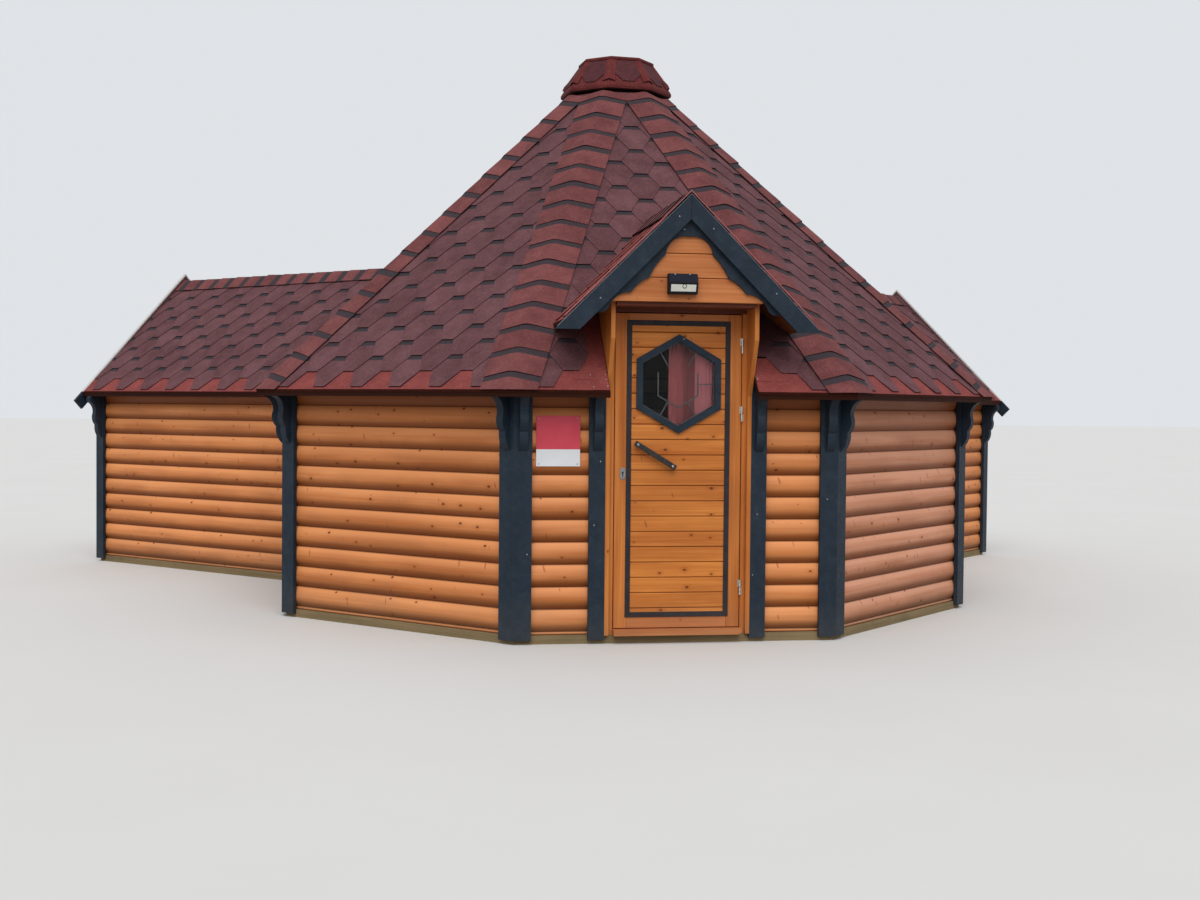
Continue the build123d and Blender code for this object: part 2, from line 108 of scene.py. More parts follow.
class Value:
    """An output of a node; [name] gives another output of the same node."""

    def __init__(self, web, socket):
        self.web, self.socket = web, socket

    def __getitem__(self, key):
        return Value(self.web, self.socket.node.outputs[key])

    __add__ = sign("ADD")
    __sub__ = sign("SUBTRACT")
    __rsub__ = sign("SUBTRACT", True)
    __mul__ = sign("MULTIPLY")
    __truediv__ = sign("DIVIDE")


class Web:
    """Adds nodes to a tree. What goes into them is a Value, a plain value or a screen colour."""

    def __init__(self, tree):
        self.tree = tree

    def put(self, socket, value):
        if isinstance(value, Value):
            self.tree.links.new(value.socket, socket)
        else:
            socket.default_value = colour(*value) if socket.type == "RGBA" else value

    def node(self, kind, values, out=0, **settings):
        made = self.tree.nodes.new("ShaderNode" + kind)
        for key, value in settings.items():
            setattr(made, key, value)
        for key, value in values.items():
            self.put(made.inputs[key], value)
        return Value(self, made.outputs[out])

    def place(self, tree, **values):
        return self.node("Group", values, node_tree=tree)

    def math(self, operation, *values):
        return self.node("Math", dict(enumerate(values)), operation=operation)

    def vector(self, operation, *values):
        out = "Value" if operation == "DOT_PRODUCT" else "Vector"
        return self.node("VectorMath", dict(enumerate(values)), out, operation=operation)

    def join(self, *parts):
        return self.node("CombineXYZ", dict(enumerate(parts)))

    def split(self, vector):
        made = self.node("SeparateXYZ", {0: vector})
        return made[0], made[1], made[2]

    def noise(self, vector, scale, detail, rough, bend=0.0):
        values = {"Vector": vector, "Scale": scale, "Detail": detail, "Roughness": rough,
                  "Distortion": bend}
        return self.node("TexNoise", values, "Fac")

    def ramp(self, value, low, high, start=0.0, end=1.0, smooth=True):
        values = {"Value": value, "From Min": low, "From Max": high, "To Min": start, "To Max": end}
        return self.node("MapRange", values, interpolation_type="SMOOTHSTEP" if smooth else "LINEAR")

    def attribute(self, name):
        return self.node("Attribute", {}, "Fac", attribute_name=name)

    def layers(self, base, *coats):
        """Lays colours over a first one; each comes after the share that it covers."""
        for share, tone in coats:
            base = self.node("Mix", {0: share, 6: base, 7: tone}, 2, data_type="RGBA")
        return base


def shared(**inputs):
    """Makes a node group of a function of these inputs, None for a vector, that gives its outputs."""
    def build(function):
        tree = bpy.data.node_groups.new(function.__name__, "ShaderNodeTree")
        for label, value in inputs.items():
            kind = "NodeSocketVector" if value is None else "NodeSocketFloat"
            socket = tree.interface.new_socket(name=label, in_out="INPUT", socket_type=kind)
            if value is not None:
                socket.default_value = value
        web = Web(tree)
        given = Value(web, tree.nodes.new("NodeGroupInput").outputs[0])
        found = function(web, *(given[label] for label in inputs))
        for label, value in found.items():
            kind = "NodeSocketVector" if value.socket.type == "VECTOR" else "NodeSocketFloat"
            tree.interface.new_socket(name=label, in_out="OUTPUT", socket_type=kind)
        ends = tree.nodes.new("NodeGroupOutput").inputs
        for label, value in found.items():
            web.put(ends[label], value)
        return tree
    return build


@shared(place=None, facing=None)
def wall_run(web, place, facing):
    """A place on a level log or board as (along, up, depth); each way a wall faces starts elsewhere."""
    away = web.vector("NORMALIZE", facing * (1.0, 1.0, 0.0))
    east, north, _ = web.split(away)
    own = web.math("ROUND", east * 5.0) * 3.71 + web.math("ROUND", north * 5.0) * 7.93
    along = web.vector("DOT_PRODUCT", place, web.vector("CROSS_PRODUCT", (0.0, 0.0, 1.0), away))
    depth = web.vector("DOT_PRODUCT", place, away)
    return {"run": web.join(along + own, web.split(place)[2], depth)}


@shared(run=None, knots=0.5, ticks=0.3, checks=0.5)
def timber(web, run, knots, ticks, checks):
    """Softwood: grain streaks along the first axis, small dark knots, upright ticks and short checks."""
    def marks(lay, cells, share, size):
        """Scattered spots of uneven size: their cores and the wood they press aside."""
        values = {"Vector": lay * cells, "Scale": 1.0, "Randomness": 0.95}
        found = web.node("TexVoronoi", values, "Distance", voronoi_dimensions="2D")
        red, green, _ = web.split(found["Color"])
        present = web.math("LESS_THAN", red, share)
        ratio = found / (green * size + 0.35 * size)
        return web.ramp(ratio, 1.1, 0.55) * present, web.ramp(ratio, 3.6, 0.9) * present

    knot, halo = marks(run, (5.6, 8.7, 1.0), knots, 0.062)
    leaning = run + web.join(web.split(run)[1] * 0.25, 0.0, 0.0)
    tick, _ = marks(leaning, (15.0, 4.1, 1.0), ticks, 0.085)
    shifted = run + web.join(0.0, halo * 0.006, 0.0)
    fine = web.noise(shifted * (1.1, 62.0, 9.0), 1.0, 4.0, 0.6, 0.6)
    broad = web.noise(shifted * (0.7, 14.0, 3.0), 1.0, 3.0, 0.5, 0.4)
    streaks = fine * 0.62 + broad * 0.38 - halo * 0.10
    check = web.ramp(web.noise(run * (5.5, 85.0, 6.0), 1.0, 2.0, 0.5, 0.9), 0.73, 0.79) * checks
    return {"streaks": web.ramp(streaks, 0.30, 0.70, smooth=False),
            "cloud": web.noise(run * (1.6, 5.0, 1.0), 1.0, 3.0, 0.5),
            "knot": knot, "tick": tick, "check": check, "height": streaks - check * 1.2}


@shared(place=None, facing=None, low=0.25)
def weather(web, place, facing, low):
    """Where weather gathers: a splash band near the ground, uneven stains, dust; upper faces paler from
    sun bleaching and painted light from above, lower faces in painted shade.
    """
    stain = web.noise(place, 2.1, 4.0, 0.6)
    rising = web.split(facing)[2]
    return {"splash": web.ramp(web.split(place)[2] + (stain - 0.5) * 0.35, low, 0.0),
            "stain": web.ramp(stain, 0.35, 0.72),
            "dust": web.ramp(web.noise(place, 23.0, 5.0, 0.7), 0.45, 0.75),
            "bleach": web.ramp(rising, 0.0, 0.55), "shelter": web.ramp(rising, 0.0, -0.55)}


@shared(place=None, tone=0.5)
def granules(web, place, tone):
    """Crushed-stone surface of bitumen tiles."""
    speckle = web.noise(place, 260.0, 2.0, 0.8) * 0.5 + web.noise(place, 75.0, 3.0, 0.7) * 0.5
    patch = web.noise(place, 7.5, 4.0, 0.62) + (tone - 0.5) * 0.22
    return {"speckle": web.ramp(speckle, 0.36, 0.64, smooth=False),
            "patch": web.ramp(patch, 0.30, 0.72, smooth=False), "height": speckle}


@shared(place=None, scale=40.0)
def skin(web, place, scale):
    """Fine unevenness of paint and of cast or rolled metal."""
    return {"mottle": web.noise(place, scale, 4.0, 0.6), "fine": web.noise(place, scale * 7.0, 2.0, 0.6)}


class Coat(Web):
    """A material: adds its nodes and sets its shader."""

    def __init__(self, name, specular=0.5):
        self.material = bpy.data.materials.new(name)
        self.material.use_nodes = True
        super().__init__(self.material.node_tree)
        self.shader = self.tree.nodes["Principled BSDF"].inputs
        self.shader["Specular IOR Level"].default_value = specular
        self.spot = self.node("TexCoord", {}, "Object")
        self.facing = self.spot["Normal"]

    def film(self, scale):
        return self.place(skin, place=self.spot, scale=scale)

    def age(self, low=SPLASH):
        return self.place(weather, place=self.spot, facing=self.facing, low=low)

    def lay(self, run):
        """The place on a piece of wood as (along, up, depth); run is the way its grain lies."""
        if run == "wall":
            return self.place(wall_run, place=self.spot, facing=self.facing)
        x, y, z = self.split(self.spot)
        return self.join(z, x, y) if run == "upright" else self.join(x, z, y)

    def wood(self, lay, knots, ticks, checks):
        return self.place(timber, run=lay, knots=knots, ticks=ticks, checks=checks)

    def gloss(self, film, low, high):
        """Roughness between two values, as uneven as the film."""
        return self.ramp(film["fine"], 0.3, 0.7, low, high)

    def finish(self, base, rough, height=None, strength=0.0, distance=0.0):
        self.put(self.shader["Base Color"], base)
        self.put(self.shader["Roughness"], rough)
        if height:
            bump = self.node("Bump", {"Strength": strength, "Distance": distance, "Height": height})
            self.put(self.shader["Normal"], bump)
        return self.material


def stained_wood(name, pale, middle, dark, run, knots=0.5, ticks=0.3, checks=0.3, logs=False, rough=0.52,
                 eave=0.6, joints=False):
    """Stained spruce. run is wall, upright or across: the way its grain lies; eave is the share of painted
    shade on the logs below the eaves.
    """
    web = Coat(name, 0.3)
    lay, age, up = web.lay(run), web.age(), web.split(web.spot)[2]
    marks = web.wood(lay, knots, ticks, checks)
    cloud = web.ramp(marks["cloud"], 0.30, 0.75, 0.0, 0.45)
    base = web.layers(middle, (marks["streaks"], pale), (cloud, dark))
    if logs:
        # each log has its own tone; its upper face is paler, sun bleaching with painted light from above;
        # painted shade darkens its underside and the logs just below the eaves; its joints are dark lines
        _, above, depth = web.split(lay)
        above = above - LOG_FIRST
        cell = web.join(web.math("FLOOR", above / LOG_PITCH), web.math("FLOOR", depth * 4.0), 0.5)
        own = web.node("TexWhiteNoise", {"Vector": cell}, "Value", noise_dimensions="3D")
        off = web.math("PINGPONG", above, LOG_PITCH / 2)
        base = web.layers(base, (web.ramp(own, 0.0, 1.0, 0.0, 0.30, False), dark),
                          (age["bleach"] * 0.60, pale), (age["shelter"] * 0.85, (118, 58, 14)),
                          (web.ramp(up, SHADE_LOW, SHADE_HIGH, 0.0, eave), (120, 56, 14)),
                          (web.ramp(off, 0.007, 0.0015, 0.0, 0.75), (84, 42, 16)))
    if joints:
        # dirt gathers in the joints between level boards
        off = web.math("PINGPONG", up - BOARD_JOINT, BOARD_PITCH / 2)
        base = web.layers(base, (web.ramp(off, 0.0042, 0.0012, 0.0, 0.6), (84, 40, 12)))
    base = web.layers(base, (marks["tick"] * 0.55, (124, 62, 26)), (marks["knot"] * 0.85, (84, 38, 14)),
                      (marks["check"] * 0.60, (96, 48, 22)), (age["splash"] * 0.25, (150, 124, 96)))
    return web.finish(base, web.ramp(marks["streaks"], 0.0, 1.0, rough + 0.10, rough - 0.04, False),
                      marks["height"], 0.25, 0.002)


def painted_board(name, base, light, mitre=False):
    """Painted boards; with a mitre, two of them meet in a fine open joint."""
    web = Coat(name, 0.22)
    marks, age, film = web.wood(web.lay("upright"), 0.10, 0.0, 0.4), web.age(), web.film(9.0)
    tint = web.layers(base, (web.ramp(film["mottle"], 0.35, 0.7, 0.0, 0.55), light),
                      (marks["streaks"] * 0.14, light), (marks["knot"] * 0.30, (18, 22, 28)),
                      (age["splash"] * 0.12, (110, 106, 96)), (age["dust"] * 0.04, (140, 142, 142)))
    if mitre:
        off = web.math("ABSOLUTE", web.split(web.spot)[0])
        tint = web.layers(tint, (web.ramp(off, 0.0024, 0.0010, 0.0, 0.9), (8, 10, 14)))
    return web.finish(tint, web.gloss(film, 0.50, 0.64), marks["height"], 0.22, 0.0015)


def stone_tile(name, field, light):
    """Stone-faced bitumen; the band attribute is the height above the lower edge of the dark print."""
    web = Coat(name, 0.2)
    grit = web.place(granules, place=web.spot, tone=web.attribute("tone"))
    speckle = grit["speckle"]
    printed = web.math("GREATER_THAN", web.attribute("band") + (speckle - 0.5) * 0.003, 0.0)
    base = web.layers(field, (grit["patch"], light), ((1.0 - speckle) * 0.40, (64, 40, 42)),
                      (web.ramp(speckle, 0.62, 1.0, 0.0, 0.20), (176, 128, 124)),
                      (printed * 0.93, web.layers(PRINT, (speckle * 0.3, (84, 76, 78)))))
    return web.finish(base, 0.93, grit["height"], 0.55, 0.003)


def cut_bitumen():
    """The cut edges of the tiles, dark bitumen without stone; also the painted shade under the cowl's rim.
    """
    web = Coat("tile_edge_and_shade", 0.2)
    film = web.film(90.0)
    base = web.layers((40, 22, 24), (film["mottle"], (66, 36, 38)))
    return web.finish(base, web.gloss(film, 0.75, 0.95), film["fine"], 0.3, 0.001)


def metal(name, base, light, rough, metallic=1.0, specular=0.5):
    web = Coat(name, specular)
    film = web.film(60.0)
    web.shader["Metallic"].default_value = metallic
    return web.finish(web.layers(base, (web.ramp(film["mottle"], 0.3, 0.7), light)),
                      web.gloss(film, rough - 0.06, rough + 0.10), film["fine"], 0.12, 0.0006)


def rough_beam():
    """Green-grey treated beam under the walls."""
    web = Coat("treated_beam", 0.3)
    marks, age = web.wood(web.lay("wall"), 0.3, 0.1, 0.8), web.age(0.05)
    base = web.layers((118, 100, 70), (marks["streaks"], (158, 136, 100)),
                      (age["stain"] * 0.4, (92, 84, 56)), (marks["check"] * 0.8, (48, 42, 30)))
    return web.finish(base, 0.82, marks["height"], 0.5, 0.003)


def soffit_boards():
    """Roof boards, brown below; their cut edges painted dark as shade."""
    web = Coat("soffit_boards", 0.12)
    marks = web.wood(web.lay("wall"), 0.5, 0.1, 0.3)
    # painted shade: every face but the underside, so the cut edges, goes dark
    turned = web.ramp(web.split(web.facing)[2], -0.60, -0.50)
    base = web.layers((124, 72, 40), (marks["streaks"], (160, 98, 58)),
                      (marks["knot"] * 0.8, (80, 40, 18)), (turned, (44, 15, 4)))
    return web.finish(base, 0.75, marks["height"], 0.3, 0.002)


def window_glass():
    web = Coat("window_glass")
    web.shader["Transmission Weight"].default_value = 1.0
    web.shader["IOR"].default_value = 1.2
    return web.finish((232, 240, 238), web.ramp(web.film(6.0)["mottle"], 0.3, 0.7, 0.01, 0.05))


def curtain_cloth():
    """Dull red woven cloth, with painted shade in the valleys of its folds and in a band below the rod."""
    web = Coat("curtain_cloth", 0.2)
    x, _, z = web.split(web.spot)
    film = web.film(14.0)
    fold = web.math("COSINE", (x - FOLD_CREST) * (2 * math.pi / FOLD_WIDE))
    # painted shade: darker in the fold valleys and towards the rod
    base = web.layers((160, 72, 76), (film["mottle"], (196, 102, 106)),
                      (web.ramp(fold, 0.3, -0.9, 0.0, 0.55), (96, 46, 48)),
                      (web.ramp(z, ROD_SHADE_LOW, ROD_SHADE_HIGH, 0.0, 0.5), (84, 42, 44)),
                      (web.math("GREATER_THAN", x, FOLD_HEM) * 0.8, (222, 128, 136)))
    web.shader["Sheen Weight"].default_value = 0.3
    return web.finish(base, web.ramp(film["fine"], 0.2, 0.8, 0.8, 0.95),
                      web.math("SINE", x * WEAVE) + web.math("SINE", z * WEAVE), 0.25, 0.0004)


def plate_enamel():
    """Bare enamelled sheet: a plain red field over a plain white foot."""
    web = Coat("plate_enamel", 0.35)
    film = web.film(12.0)
    red = web.layers((204, 58, 76), (film["mottle"], (220, 80, 96)))
    white = web.layers((222, 226, 230), (film["mottle"], (236, 238, 240)))
    foot = web.math("LESS_THAN", web.split(web.spot)[2], PLATE_FOOT)
    return web.finish(web.layers(red, (foot, white)), web.gloss(film, 0.30, 0.42),
                      film["mottle"], 0.05, 0.001)


def ribbed_lens():
    """Pale ribbed lamp lens."""
    web = Coat("lamp_lens")
    film = web.film(30.0)
    ribs = web.math("SINE", web.split(web.spot)[0] * LENS_RIBS)
    return web.finish(web.layers((214, 218, 204), (film["mottle"], (236, 238, 230))),
                      web.gloss(film, 0.25, 0.35), ribs, 0.25, 0.001)


log_tones = (242, 162, 102), (213, 125, 60), (146, 74, 26)
log_wood = stained_wood("log_stain", *log_tones, "wall", 0.55, 0.22, logs=True)
gable_wood = stained_wood("log_stain_gable", *log_tones, "wall", 0.55, 0.22, logs=True, eave=0.0)
# the front right wall's logs are paler and pinker: a painted reflection of the sky
sky_sheen_wood = stained_wood("log_stain_sky_sheen", (236, 172, 138), (208, 132, 90), (156, 88, 50),
                          "wall", 0.35, 0.5, logs=True)
plank_wood = stained_wood("plank_stain", (234, 150, 70), (184, 99, 32), (148, 72, 20),
                          "wall", 0.6, 0.1, 0.1, joints=True)
post_wood = stained_wood("upright_stain", (220, 140, 68), (178, 95, 32), (142, 70, 22),
                         "upright", 0.15, 0.0)
head_wood = stained_wood("level_stain", (226, 148, 90), (184, 102, 48), (146, 74, 30), "across", 0.2, 0.1)
# the door head: a darker copy of the level stain, painted shade under the gable
head_shade_wood = stained_wood("level_stain_painted_shade", (112, 50, 24), (88, 36, 16), (60, 22, 10),
                              "across", 0.2, 0.1)
floor_wood = stained_wood("floor_boards", (206, 172, 126), (186, 150, 104), (150, 114, 74),
                          "across", rough=0.45)
dark_paint = painted_board("dark_paint", (26, 38, 50), (40, 54, 68))
mitred_paint = painted_board("dark_paint_mitred", (26, 38, 50), (40, 54, 68), mitre=True)
inlay_paint = painted_board("inlay_paint", (38, 34, 38), (54, 50, 54))
edge = cut_bitumen()
field_tile = stone_tile("tile_field", (90, 56, 59), (114, 76, 80))
cap_tile = stone_tile("tile_cap", (104, 54, 54), (134, 76, 74))
eave_tile = stone_tile("tile_eave", (128, 58, 54), (154, 76, 70))
cowl_tile = stone_tile("tile_cowl", (92, 32, 31), (116, 48, 44))
panel_tile = stone_tile("tile_cowl_panel", (72, 34, 39), (90, 46, 50))
# the drip edge: dark red-brown metal, darker still as the painted shade line under the tiles
drip_metal = metal("drip_edge", (42, 12, 6), (56, 20, 10), 0.80, 0.0, 0.1)
zinc = metal("zinc_plate", (176, 176, 172), (212, 212, 208), 0.30)
verge_metal = metal("verge_strip", (196, 192, 188), (214, 212, 208), 0.45, 0.3)
red_metal = metal("verge_strip_red", (146, 78, 78), (168, 100, 100), 0.5, 0.0)
grey_metal = metal("verge_strip_grey", (84, 94, 104), (108, 118, 126), 0.5, 0.2)
steel = metal("bright_steel", (170, 172, 174), (208, 208, 206), 0.28)
dull_steel = metal("dull_steel", (126, 128, 130), (160, 160, 158), 0.38)
black_iron = metal("black_iron", (24, 23, 24), (46, 42, 40), 0.45, 0.2)
lamp_black = metal("lamp_plastic", (16, 16, 20), (24, 24, 30), 0.65, 0.0, 0.2)
lamp_blue = metal("lamp_panel", (14, 17, 32), (20, 24, 42), 0.55, 0.0, 0.15)
lead = metal("window_lead", (66, 68, 70), (104, 106, 106), 0.4, 0.4)
lamp_lens = ribbed_lens()

# the materials of the frame's nodes
covers = [
    (log_wood, "front_walls front_left_wall side_walls back_wall room_front_walls room_back_walls"),
    (gable_wood, "room_end_walls"), (sky_sheen_wood, "front_right_wall"),
    (rough_beam(), "base_frame room_base_frames"), (floor_wood, "floor room_floors"),
    (soffit_boards(), "roof_front roof_front_left roof_front_right roof_left roof_right roof_back "
                      "roof_back_left roof_back_right room_roofs_front room_roofs_back gable_roof "
                      "smoke_ring"),
    (dark_paint, "corner_posts door_posts brackets room_bargeboards door_window_frame"),
    (mitred_paint, "gable_trims gable_bargeboards"), (post_wood, "door_cheeks door_jambs opening_posts"),
    (head_wood, "threshold gable_board"), (head_shade_wood, "door_head"), (zinc, "jamb_hinges door_hinges"),
    (plate_enamel(), "wall_plate"), (window_glass(), "door_glass"), (cowl_tile, "smoke_cowl"),
    (lamp_black, "porch_lamp"), (plank_wood, "door_leaf"), (black_iron, "door_handle")]
for coat, names in covers:
    for name in names.split():
        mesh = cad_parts[name].data
        mesh.materials.clear()
        mesh.materials.append(coat)


def turn(angle):
    """Turns what is drawn at the front to the side at this angle."""
    return Matrix.Rotation(math.radians(-angle), 3, "Z")


def at(angle, across, out, up):
    """A point of a side, from its across, out and up distances."""
    return turn(angle) @ Vector((across, -out, up))


def show(name, data):
    """Puts an object with this data into the scene."""
    made = bpy.data.objects.new(name, data)
    bpy.context.scene.collection.objects.link(made)
    return made


def drawn(name, bm, closed=True):
    """A scene object from a finished mesh; the faces of closed forms are turned outward."""
    if closed:
        bmesh.ops.recalc_face_normals(bm, faces=bm.faces)
    bm.normal_update()
    mesh = bpy.data.meshes.new(name)
    bm.to_mesh(mesh)
    bm.free()
    return show(name, mesh)


def make(name, bm, body, skins, sharp=35.0, closed=True):
    """A piece of the visual model that rides on a body."""
    made = drawn(name, bm, closed)
    for one in skins:
        made.data.materials.append(one)
    for face in made.data.polygons:
        face.use_smooth = True
    made.data.set_sharp_from_angle(angle=math.radians(sharp))
    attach(made, body)
    return made


def soften(piece, width, segments=2):
    """Rounds the edges of a piece."""
    rounding = piece.modifiers.new("rounding", "BEVEL")
    rounding.width = width
    rounding.segments = segments
    rounding.limit_method = "ANGLE"
    rounding.angle_limit = math.radians(40.0)
    return piece


def loft(bm, rings, far_end=True, side=0):
    """Joins closed rings of corners one after another and closes the ends; side is the walls' material."""
    for near, far in zip(rings, rings[1:]):
        for n in range(len(near)):
            m = (n + 1) % len(near)
            bm.faces.new((near[n], near[m], far[m], far[n])).material_index = side
    bm.faces.new(rings[0][::-1])
    if far_end:
        bm.faces.new(rings[-1])


def prism(bm, shape, near, far, angle=0.0):
    """A shape of (across, up) corners drawn outward from near to far."""
    loft(bm, [[bm.verts.new(at(angle, x, out, up)) for x, up in shape] for out in (near, far)])


def rectangle(x0, x1, low, high):
    return [(x0, low), (x1, low), (x1, high), (x0, high)]


def block(bm, x0, x1, near, far, low, high):
    """A box of the front by its across, out and up limits."""
    prism(bm, rectangle(x0, x1, low, high), near, far)


def circle(count):
    return [(math.cos(2 * math.pi * n / count), math.sin(2 * math.pi * n / count)) for n in range(count)]


def dome(bm, centre, outward, radius, height, turns=8):
    """A low round head, closed at its back."""
    centre, outward = Vector(centre), Vector(outward).normalized()
    aside = outward.orthogonal().normalized()
    other = outward.cross(aside)
    rings = [[bm.verts.new(centre + radius * share * (c * aside + s * other) + height * rise * outward)
              for c, s in circle(turns)] for share, rise in ((1.0, 0.0), (0.94, 0.45), (0.62, 0.86))]
    loft(bm, rings, far_end=False)
    crown = bm.verts.new(centre + height * outward)
    for n in range(turns):
        bm.faces.new((rings[-1][n], rings[-1][(n + 1) % turns], crown))


# flat shapes: lists of (a, b) corners, counter-clockwise, and limits (a, b, c) that keep a*x + b*y <= c
LEAST_AREA = 1e-6


def area(shape):
    return sum(x0 * y1 - x1 * y0 for (x0, y0), (x1, y1) in zip(shape, shape[1:] + shape[:1])) / 2


def keep(shape, limit):
    """The part of a convex shape inside one limit."""
    a, b, c = limit
    result = []
    for here, there in zip(shape, shape[1:] + shape[:1]):
        d0 = a * here[0] + b * here[1] - c
        d1 = a * there[0] + b * there[1] - c
        if d0 <= 0.0:
            result.append(here)
        if (d0 < 0.0 < d1) or (d1 < 0.0 < d0):
            share = d0 / (d0 - d1)
            result.append((here[0] + share * (there[0] - here[0]), here[1] + share * (there[1] - here[1])))
    return result if area(result) > LEAST_AREA else []


def inside(shape, limits):
    for limit in limits:
        shape = keep(shape, limit)
    return shape


def outside(shape, hole):
    """A convex shape less a convex hole, as convex pieces; without a hole, the shape as it is."""
    if not hole:
        return [shape] if shape else []
    left = []
    for a, b, c in hole:
        beyond = keep(shape, (-a, -b, -c))
        if beyond:
            left.append(beyond)
        shape = keep(shape, (a, b, c))
    return left


class Slope:
    """A roof plane: a point of it is origin + a * run + b * rise, lifted along its normal."""

    def __init__(self, origin, run, rise):
        self.origin, self.run, self.rise = origin, run.normalized(), rise.normalized()
        self.normal = self.run.cross(self.rise)

    def point(self, a, b, lift):
        return self.origin + a * self.run + b * self.rise + lift * self.normal


def octagon_slope(angle):
    """A slope of the main roof, from the middle of its eave up."""
    return Slope(at(angle, 0.0, EAVE_OUT, EAVE_HIGH), at(angle, 1.0, 0.0, 0.0), at(angle, 0.0, -1.0, 1.0))


def gabled_slope(angle, side, ridge, half, fall, near):
    """One slope of a gabled roof; run goes along the eave, towards the middle on the right side."""
    return Slope(at(angle, side * half, near, ridge - fall * half), at(angle, 0.0, -side, 0.0),
                 at(angle, -side, 0.0, fall))


def mirrored(side, *limits):
    """Limits written for the right slope, mirrored for the left one."""
    return [(side * a, b, c) for a, b, c in limits]


# tiles and caps carry two attributes: tone, their own shade, and band, the height above the dark print

def tile_mesh():
    bm = bmesh.new()
    for key in ("tone", "band"):
        bm.verts.layers.float.new(key)
    return bm


def tile_corner(bm, place, tone=0.5, band=-1.0):
    vertex = bm.verts.new(place)
    vertex[bm.verts.layers.float["tone"]] = tone
    vertex[bm.verts.layers.float["band"]] = band
    return vertex


def shingle(bm, slope, shape, lift, tone=0.5, band=lambda b: -1.0):
    """A thin closed piece of tile over a flat shape; lift gives its top, its cut edges are dark."""
    lower = [tile_corner(bm, slope.point(a, b, lift(b) - TAB_THICK), tone) for a, b in shape]
    upper = [tile_corner(bm, slope.point(a, b, lift(b)), tone, band(b)) for a, b in shape]
    loft(bm, [lower, upper], side=1)


def lay_tiles(bm, slope, limits, hole, width, length, lift=0.0, missing=None):
    """Rows of six-sided tabs from the eave up; each row covers the upper half of the one below it."""
    wide = TAB_PITCH / 2 - TAB_FLAT
    grow = (wide - TAB_FLAT) / TAB_STEP
    count = int(width / TAB_PITCH) + 2
    for row in range(int((length - FIRST_TAB) / TAB_STEP) + 1):
        foot = FIRST_TAB + row * TAB_STEP
        head = foot + 2 * TAB_STEP
        half = [(TAB_FLAT, foot), (wide + TAB_LAP * grow, foot + TAB_STEP + TAB_LAP),
                (TAB_FLAT + TAB_NARROW, head + TAB_PAST)]
        for number in range(-count, count + 1):
            centre = (number + 0.5 * ((row + 1) % 2)) * TAB_PITCH
            tab = [(centre + a, b) for a, b in half] + [(centre - a, b) for a, b in half[::-1]]
            tone = chance.random()
            raised = lift + chance.uniform(0.0, TAB_UNEVEN)
            if missing and missing(row, centre):
                continue
            for bit in outside(inside(tab, limits), hole):
                shingle(bm, slope, bit, lambda b: raised + TAB_THICK * (3.0 - (b - foot) / TAB_STEP), tone,
                        lambda b: b - (head - TAB_BAND))


def lay_starter(bm, slope, limits, hole, width, lift=0.0):
    """The plain strip under the first row, seen between and below its tabs."""
    strip = rectangle(-width, width, STARTER_FROM, FIRST_TAB + STARTER_TO * TAB_STEP)
    for bit in outside(inside(strip, limits), hole):
        shingle(bm, slope, bit, lambda b: lift + TAB_THICK)


def cover_slope(label, slope, limits, hole, width, length, lift=0.0, eave=True, missing=None):
    """The tiles of one slope, and the strip along its eave."""
    bm = tile_mesh()
    lay_tiles(bm, slope, limits, hole, width, length, lift, missing)
    make("tiles_" + label, bm, "hut", [field_tile, edge])
    if eave:
        bm = tile_mesh()
        lay_starter(bm, slope, limits, hole, width, lift)
        make("starter_" + label, bm, "hut", [eave_tile, edge])


# the eight slopes; out = EAVE_OUT - b / ROOT
HIP_LEAN = TAN / ROOT
slope_long = (EAVE_OUT - COWL_OUT) * ROOT
hip_limits = [(1.0, HIP_LEAN, TAN * EAVE_OUT), (-1.0, HIP_LEAN, TAN * EAVE_OUT), (0.0, 1.0, slope_long)]
room_corner = ROOT * ROOM_HALF - EAVE_OUT
room_lean = 1.0 / ROOM_FALL - 1.0 / ROOT
left_room, right_room = (-1.0, -room_lean, -room_corner), (1.0, -room_lean, -room_corner)
room_hole = [(side * ROOM_FALL, 1.0 / ROOT, ROOM_RIDGE - EAVE_HIGH) for side in (1, -1)]
beside_cheek, flashing = CHEEK + 0.004, CHEEK + 0.103
gable_hole = [(1.0, 0.0, beside_cheek), (-1.0, 0.0, flashing)]
gable_hole += [(side, 1.0 / ROOT, GABLE_RIDGE - EAVE_HIGH) for side in (1.0, -1.0)]


def by_the_door(row, centre):
    """True for the two tabs of the first row beside the door, where the strip below shows instead."""
    return row == 0 and abs(abs(centre) - 1.5 * TAB_PITCH) < 0.01


for label, angle, extra, hole, missing in (
        ("front", 0.0, [], gable_hole, by_the_door), ("front_left", 45.0, [], None, None),
        ("front_right", -45.0, [], None, None), ("left", 90.0, [left_room], None, None),
        ("right", -90.0, [right_room], None, None), ("back", 180.0, [left_room, right_room], None, None),
        ("back_left", LEFT, [], room_hole, None), ("back_right", RIGHT, [], room_hole, None)):
    cover_slope(label, octagon_slope(angle), hip_limits + extra, hole, EAVE_OUT * TAN, slope_long,
                eave=not label.startswith("back_"), missing=missing)

